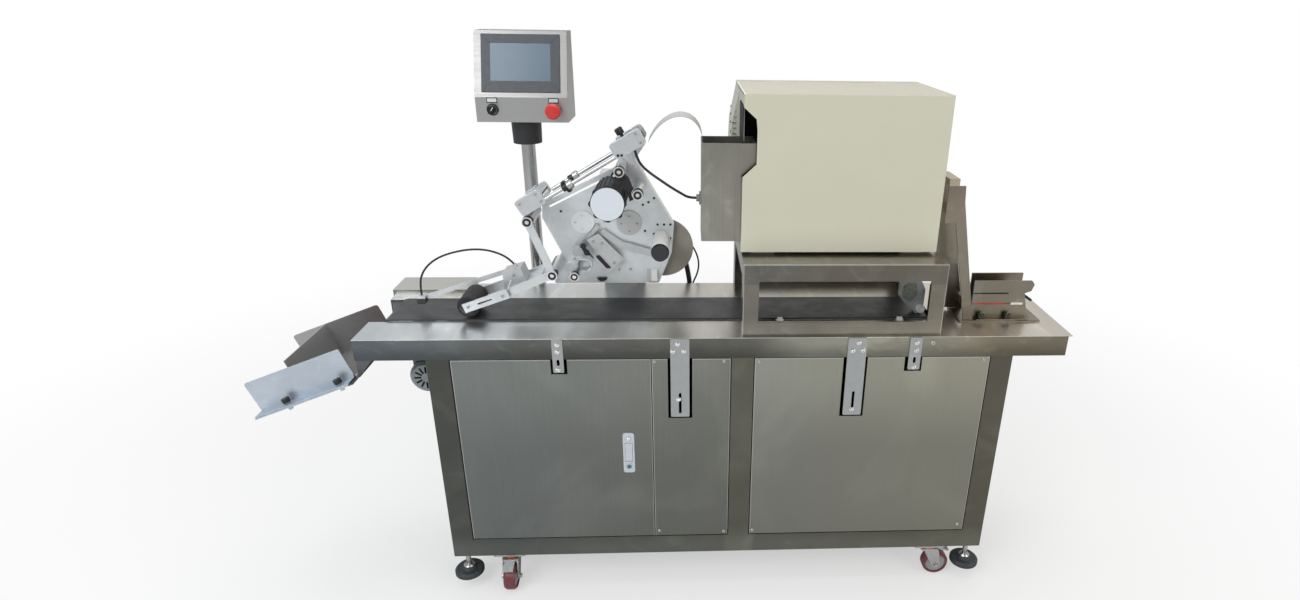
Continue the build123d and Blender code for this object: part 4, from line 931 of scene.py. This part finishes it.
p.prism([by_block(UPPER_BLOCK, u, v, 160) for u, v in rounded_rect(9, 14, 6)], (0, 0.050, 0), 2)
p.prism([by_block(UPPER_BLOCK, 31 + u, v - 3, 176) for u, v in rounded_rect(9, 13, 5)], (0, 0.049, 0), 2)
gland = place(695, 150, 440)
p.rod(gland, gland - place(701, 150, 417), 6, 12)
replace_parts(p.make(0.8), "rod_blocks")

# Head: the paired guide rods with a zinc and a black collar on each

ROD_X, ROD_Z, ROD_LENGTH = 473.2, 322.6, 206
p = Piece("rods_and_collars", "machine", chrome, zinc, black)
for y in (123, 227):
    foot = place(ROD_X, y, ROD_Z)
    p.rod(foot, along, 5, ROD_LENGTH, 0, 36)
    p.lathe(foot, along, [(5.1, 66), (10.2, 66), (11, 67), (11, 79), (10.2, 80), (5.1, 80)], 1, 36)
    p.lathe(foot, along, [(5.1, 52), (8.4, 52), (9, 52.8), (9, 63.4), (8.4, 64), (5.1, 64)], 2, 36)
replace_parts(p.make(), "guide_rods")

# Head: screws and knobs of the clamp blocks

p = Piece("clamp_fixings", "machine", black, bright, zinc)
p.lathe(by_block(UPPER_BLOCK, -7, 16, 160), out,
        [(0, 0), (4, 0), (4, 7), (8.5, 8), (9.5, 10), (9.5, 23), (8, 25), (0, 25)], 0, 18, 9, 0.08)
for block, u, v, mat in ((UPPER_BLOCK, -34, -11, 0), (UPPER_BLOCK, -26, -15, 0), (UPPER_BLOCK, 30, 12, 2),
                         (UPPER_BLOCK, 30, -12, 2), (LOWER_BLOCK, -24, 10, 2), (LOWER_BLOCK, 24, 11, 2),
                         (LOWER_BLOCK, 26, -10, 2)):
    p.screw(by_block(block, u, v, 115), FRONT, 3.0, mat, "cap")
p.rod(by_block(LOWER_BLOCK, 24, 21, 160), out, 7, 5, 1, 6)
for x, z in ((519, 360.5), (533, 346)):
    p.lathe(place(x, 125, z), FRONT, [(0, -14), (6.5, -14), (6.5, 0), (5.5, 1.2), (0, 1.2)], 0, 18, 9, 0.07)
p.screw(place(532, 148, 160), FRONT, 4, 2, "cap")
p.make()

# Head: fork at the top roller, hook bar and small knobs at the peel unit

HOOK = ((513, 146), (539, 155.5), (566, 155.5), (575, 147), (573, 133), (561, 124), (535, 124), (518, 119))
p = Piece("peel_fork", "machine", rubber, bright, arm_alu)
p.plate(146, 14, ((650, 382), (661, 384), (677, 372), (692, 330), (690, 318), (679, 312), (674, 330),
                  (662, 358), (652, 366)))
p.lathe(place(642, 146, 377), FRONT, [(0, -14), (8, -14), (8, 0), (7, 1), (0, 1)], 0, 28)
p.screw(place(642, 145, 377), FRONT, 3.2, 1, "cap")
# Black strip beside the link bar's lower edge, painted shade of the gap there
p.plate(207.5, 4, ((579.5, 147.5), (588.5, 147.5), (617.5, 112), (606, 112), (581, 142)))
for x, z in ((548, 176), (556, 158)):
    p.lathe(place(x, 205, z), FRONT, [(0, 0), (8, 0), (8, 3), (0, 3)], 0, 14, 7, 0.12)
p.plate(204, 6, ((543, 168), (552, 172), (574, 140), (566, 134)))
for (xa, za), (xb, zb) in zip(HOOK, HOOK[1:]):
    run = Vector((xb - xa, 0, zb - za)).normalized()
    lift = Vector((-run.z, 0, run.x)) * 1.6
    a, b = Vector((xa, 0, za)) - run * 1.2, Vector((xb, 0, zb)) + run * 1.2
    p.plate(152, 30, [(q.x, q.z) for q in (a - lift, b - lift, b + lift, a + lift)], 2)
p.make(0.4)

# Head: screws and rod of the press arm, then plugs, screws and a foot plate on the head plate

p = Piece("arm_fixings", "machine", zinc, bright)
for x, z in ((258.7, 41.9), (349.2, 72.1)):
    p.screw(place(x, 108.9, z), FRONT, 3.6, 0, "cap")
rod_foot, rod_head = place(358.8, 119, 81.1), place(371.9, 119, 114.1)
p.rod(rod_foot, rod_head - rod_foot, 2.6, 35.5, 1, 16)
p.screw(place(371.9, 148.8, 114.1), FRONT, 3.4, 0, "cap")
p.make()

PLUG = [(0, -3), (3.3, -3), (3.3, 0), (2.6, 0.4), (1.6, 0.4), (1.4, -0.6), (0, -0.6)]
p = Piece("head_fixings", "machine", zinc, black)
for x, z in ((490, 262), (706, 280), (721, 287), (736, 298), (744, 226), (761, 226), (778, 226), (710, 208),
             (734, 200), (777, 188)):
    p.lathe(place(x, 236, z), FRONT, PLUG, 1, 18)
for x, z, y in ((640, 108, 211.8), (574, 186, 211.8), (596, 180, 211.8), (626, 126, 211.8),
                (668, 101, 234.8), (604, 236, 234.8)):
    p.screw(place(x, y, z), FRONT, 3.4, 0, "cap")
p.plate(228, 6, ((577, 77), (605, 77), (602, 71), (594, 67), (586, 67), (580, 71)), 1)
p.make()

# Knobs of the tray wall and the feeder guide

TRAY_SLOPE = math.radians(21)
GRIP = [(0, 0), (8.3, 0), (9.4, 1.2), (9.4, 11.6), (8.2, 13.0), (3.2, 13.3), (3.2, 12.4), (0, 12.4)]
tray_up = Vector((-math.sin(TRAY_SLOPE), 0, math.cos(TRAY_SLOPE)))
tray_along = Vector((math.cos(TRAY_SLOPE), 0, math.sin(TRAY_SLOPE)))
p = Piece("tray_knob_grips", "tray_slide", black, bright)
for distance in (-42, -186):
    at = place(2, -17, -100) + tray_along * (distance / 1000) + tray_up * 0.0066
    p.lathe(at, tray_up, GRIP, 0, 42, 7, 0.06)
    p.rod(at + tray_up * 0.0123, tray_up, 2.4, 2.4, 1, 18)
p.make()

p = Piece("feeder_knob_grips", "feeder_guide", black, bright)
for x in (1604, 1676):
    p.lathe(place(x, 99, 7.6), UP, [(r * 0.93, h) for r, h in GRIP], 0, 42, 7, 0.06)
    p.rod(place(x, 99, 19.6), UP, 2.2, 3.4, 1, 18)
p.make()

# Feeder: strips on its guide, and the stop behind it; bin: the flange beside the printer

p = Piece("feeder_trim", "feeder_guide", red, black, white, sheet_steel)
p.block((1578, 108, 4.4), (1590, 112, 110), 3)
# Black strips at the upper slot, painted shade inside it
p.block((1579, 107.7, 73.4), (1600, 108.1, 76.6), 1)
p.block((1579, 107.7, 44.4), (1600, 108.1, 47.6), 0)
p.block((1600, 110.4, 73), (1672, 111.4, 77), 1)
p.block((1600, 109.0, 44.2), (1668, 110.6, 47.8), 0)
p.block((1684, 106.6, 43), (1716, 107.8, 49), 2, 0.4)
p.block((1699, 88, 4.1), (1753, 90.5, 4.4), 1)
p.make(0.3)

p = Piece("feeder_stop", "machine", black)
p.plate(166, 12, ((1743, 52), (1771, 33), (1768, 27), (1740, 45)))
p.make(0.4)

p = Piece("bin_flange", "machine", bin_steel)
p.plate(100, 2, ((941, 222), (956.2, 222), (956.2, 388.5), (941, 378)))
p.make()

# Printer: edge buttons and outlet strip, and the works seen inside its stand

p = Piece("printer_edge_buttons", "machine", black, white, body_paint)
for z in (533, 514, 494, 470):
    p.lathe(place(936.6, 262, z), (-1, 0, 0), [(0, 0), (3.4, 0), (3.4, 1.0), (2.6, 1.6), (0, 1.6)], 0, 18)
p.block((955.6, 95, 470), (957.4, 214, 553), 2)
p.block((957.6, 118, 470), (961, 126, 553), 1, 0.5)
p.make()

p = Piece("stand_clips", "machine", bright, white, black, clamp_alu, glass_grey)
for x in (1067, 1388):
    p.block((x - 7, 103, 0.2), (x + 7, 111, 9), 1, 1.0)
    p.block((x - 11, 104, 0.2), (x + 11, 110, 3), 0, 0.5)
p.plate(142, 22, ((1393, 88), (1400, 96), (1440, 100), (1450, 95), (1461, 73), (1460, 24), (1452, 8),
                  (1440, 4), (1403, 41), (1394, 52)), 3)
p.plate(139, 3, ((1401, 52), (1401, 84), (1412, 92), (1436, 92), (1440, 60), (1420, 40)), 4)
p.lathe(place(1452, 140, 19), FRONT, [(0, -16), (12, -16), (12, 4), (11, 5), (4, 5), (4, 3), (0, 3)], 1, 32)
p.block((1474, 60, 8), (1477, 150, 86), 2, 0.5)
p.block((1480, 58, 8), (1483, 62, 86), 0, 0.5)
p.make(0.3)

# Lock: key cylinder with its slot, and a pin above it

LOCK_X, CYLINDER_Z, PIN_Z = 666, -375, -290
lock_front = (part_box("lock_housing")[0].y - TABLE_FRONT) * 1000
p = Piece("lock_details", "cabinet_door", black, key_blue, bright)
p.lathe(place(LOCK_X, lock_front, CYLINDER_Z), FRONT,
        [(0, 0), (6.4, 0), (6.4, 0.8), (5.6, 1.2), (0, 1.2)], 1, 28)
p.block((LOCK_X - 0.8, lock_front - 1.5, CYLINDER_Z - 4), (LOCK_X + 0.8, lock_front - 1.1, CYLINDER_Z + 4))
p.lathe(place(LOCK_X, lock_front, PIN_Z), FRONT,
        [(0, 0), (4.8, 0), (4.8, 1.0), (4.0, 1.6), (0, 1.6)], 2, 28)
p.make()

# Floor, light and surroundings

FLOOR_SIZE = 40
FADE_FROM, FADE_TO = 1.0, 3.2


def floor():
    """Pale floor that fades to a white ground away from the machine, keeping its soft shadow."""
    bpy.ops.mesh.primitive_plane_add(size=FLOOR_SIZE, location=(0, 0, 0))
    o = bpy.context.object
    o.name = "floor"
    m = Mat("floor", (0.80, 0.80, 0.80), 0.85)
    m.tint(m.noise(0.8, 2), (0.785, 0.785, 0.785), 0.5)
    m.bump(m.noise(220, 3), 0.02, 0.0003)
    glow = m.node("ShaderNodeEmission")
    glow.inputs["Color"].default_value = (1, 1, 1, 1)
    far = m.node("ShaderNodeVectorMath", operation="LENGTH")
    m.link(m.coord, far.inputs[0])
    fade = m.ramp(far.outputs["Value"], FADE_FROM, FADE_TO, 0.50, 1.0)
    mixed = m.node("ShaderNodeMixShader")
    m.link(m.times(fade, m.node("ShaderNodeLightPath").outputs["Is Camera Ray"]), mixed.inputs[0])
    m.link(m.shader.outputs[0], mixed.inputs[1])
    m.link(glow.outputs[0], mixed.inputs[2])
    m.link(mixed.outputs[0], m.tree.nodes["Material Output"].inputs["Surface"])
    o.data.materials.append(m.material)


def area(name, at, target, size, size_y, power, color):
    data = bpy.data.lights.new(name, "AREA")
    data.shape = "RECTANGLE"
    data.size = size
    data.size_y = size_y
    data.energy = power
    data.color = color
    o = add_object(name, data)
    o.location = at
    o.rotation_euler = (Vector(target) - Vector(at)).to_track_quat("-Z", "Y").to_euler()


floor()
area("key", (-2.4, -3.0, 3.4), (0, 0, 0.8), size=2.6, size_y=2.0, power=88, color=(0.97, 0.99, 1.0))
area("fill", (3.4, -2.6, 2.2), (0, 0, 0.7), size=2.4, size_y=1.8, power=40, color=(1.0, 0.97, 0.92))
area("top", (0, 0.1, 3.9), (0, 0, 0.8), size=3.4, size_y=1.6, power=34, color=(1, 1, 1))


def surroundings():
    """White ground for the camera; for light and reflections a studio, dim below and warmer to the right."""
    world = bpy.data.worlds.new("world")
    bpy.context.scene.world = world
    world.use_nodes = True
    tree = world.node_tree
    link = tree.links.new
    split = add_node(tree, "ShaderNodeSeparateXYZ")
    link(add_node(tree, "ShaderNodeTexCoord").outputs["Generated"], split.inputs[0])
    rise = add_node(tree, "ShaderNodeValToRGB")
    stops = rise.color_ramp.elements
    stops[0].position = 0.0
    stops[0].color = (0.22, 0.22, 0.215, 1)
    stops[1].position = 0.9
    stops[1].color = (0.62, 0.63, 0.64, 1)
    stops.new(0.16).color = (0.50, 0.50, 0.495, 1)
    link(split.outputs[2], rise.inputs[0])
    side = add_node(tree, "ShaderNodeMapRange")
    set_inputs(side, {"From Min": -0.7, "From Max": 0.7})
    link(split.outputs[0], side.inputs["Value"])
    tone = add_node(tree, "ShaderNodeMix", data_type="RGBA")
    tone.inputs[6].default_value = (0.95, 1.0, 1.04, 1)
    tone.inputs[7].default_value = (1.05, 1.0, 0.92, 1)
    link(side.outputs[0], tone.inputs[0])
    depth = add_node(tree, "ShaderNodeMapRange")
    set_inputs(depth, {"From Min": -0.5, "From Max": 0.8, "To Min": 0.85, "To Max": 1.5})
    link(split.outputs[1], depth.inputs["Value"])
    both = add_node(tree, "ShaderNodeMix", data_type="RGBA", blend_type="MULTIPLY")
    both.inputs[0].default_value = 1
    link(rise.outputs[0], both.inputs[6])
    link(tone.outputs[2], both.inputs[7])
    studio = tree.nodes["Background"]
    link(depth.outputs[0], studio.inputs["Strength"])
    link(both.outputs[2], studio.inputs["Color"])
    ground = add_node(tree, "ShaderNodeBackground")
    ground.inputs["Color"].default_value = (1, 1, 1, 1)
    mixed = add_node(tree, "ShaderNodeMixShader")
    link(add_node(tree, "ShaderNodeLightPath").outputs["Is Camera Ray"], mixed.inputs[0])
    link(studio.outputs[0], mixed.inputs[1])
    link(ground.outputs[0], mixed.inputs[2])
    link(mixed.outputs[0], tree.nodes["World Output"].inputs[0])


surroundings()

view = bpy.context.scene.view_settings
view.view_transform = "Standard"
view.look = "None"
view.exposure = 0
view.gamma = 1
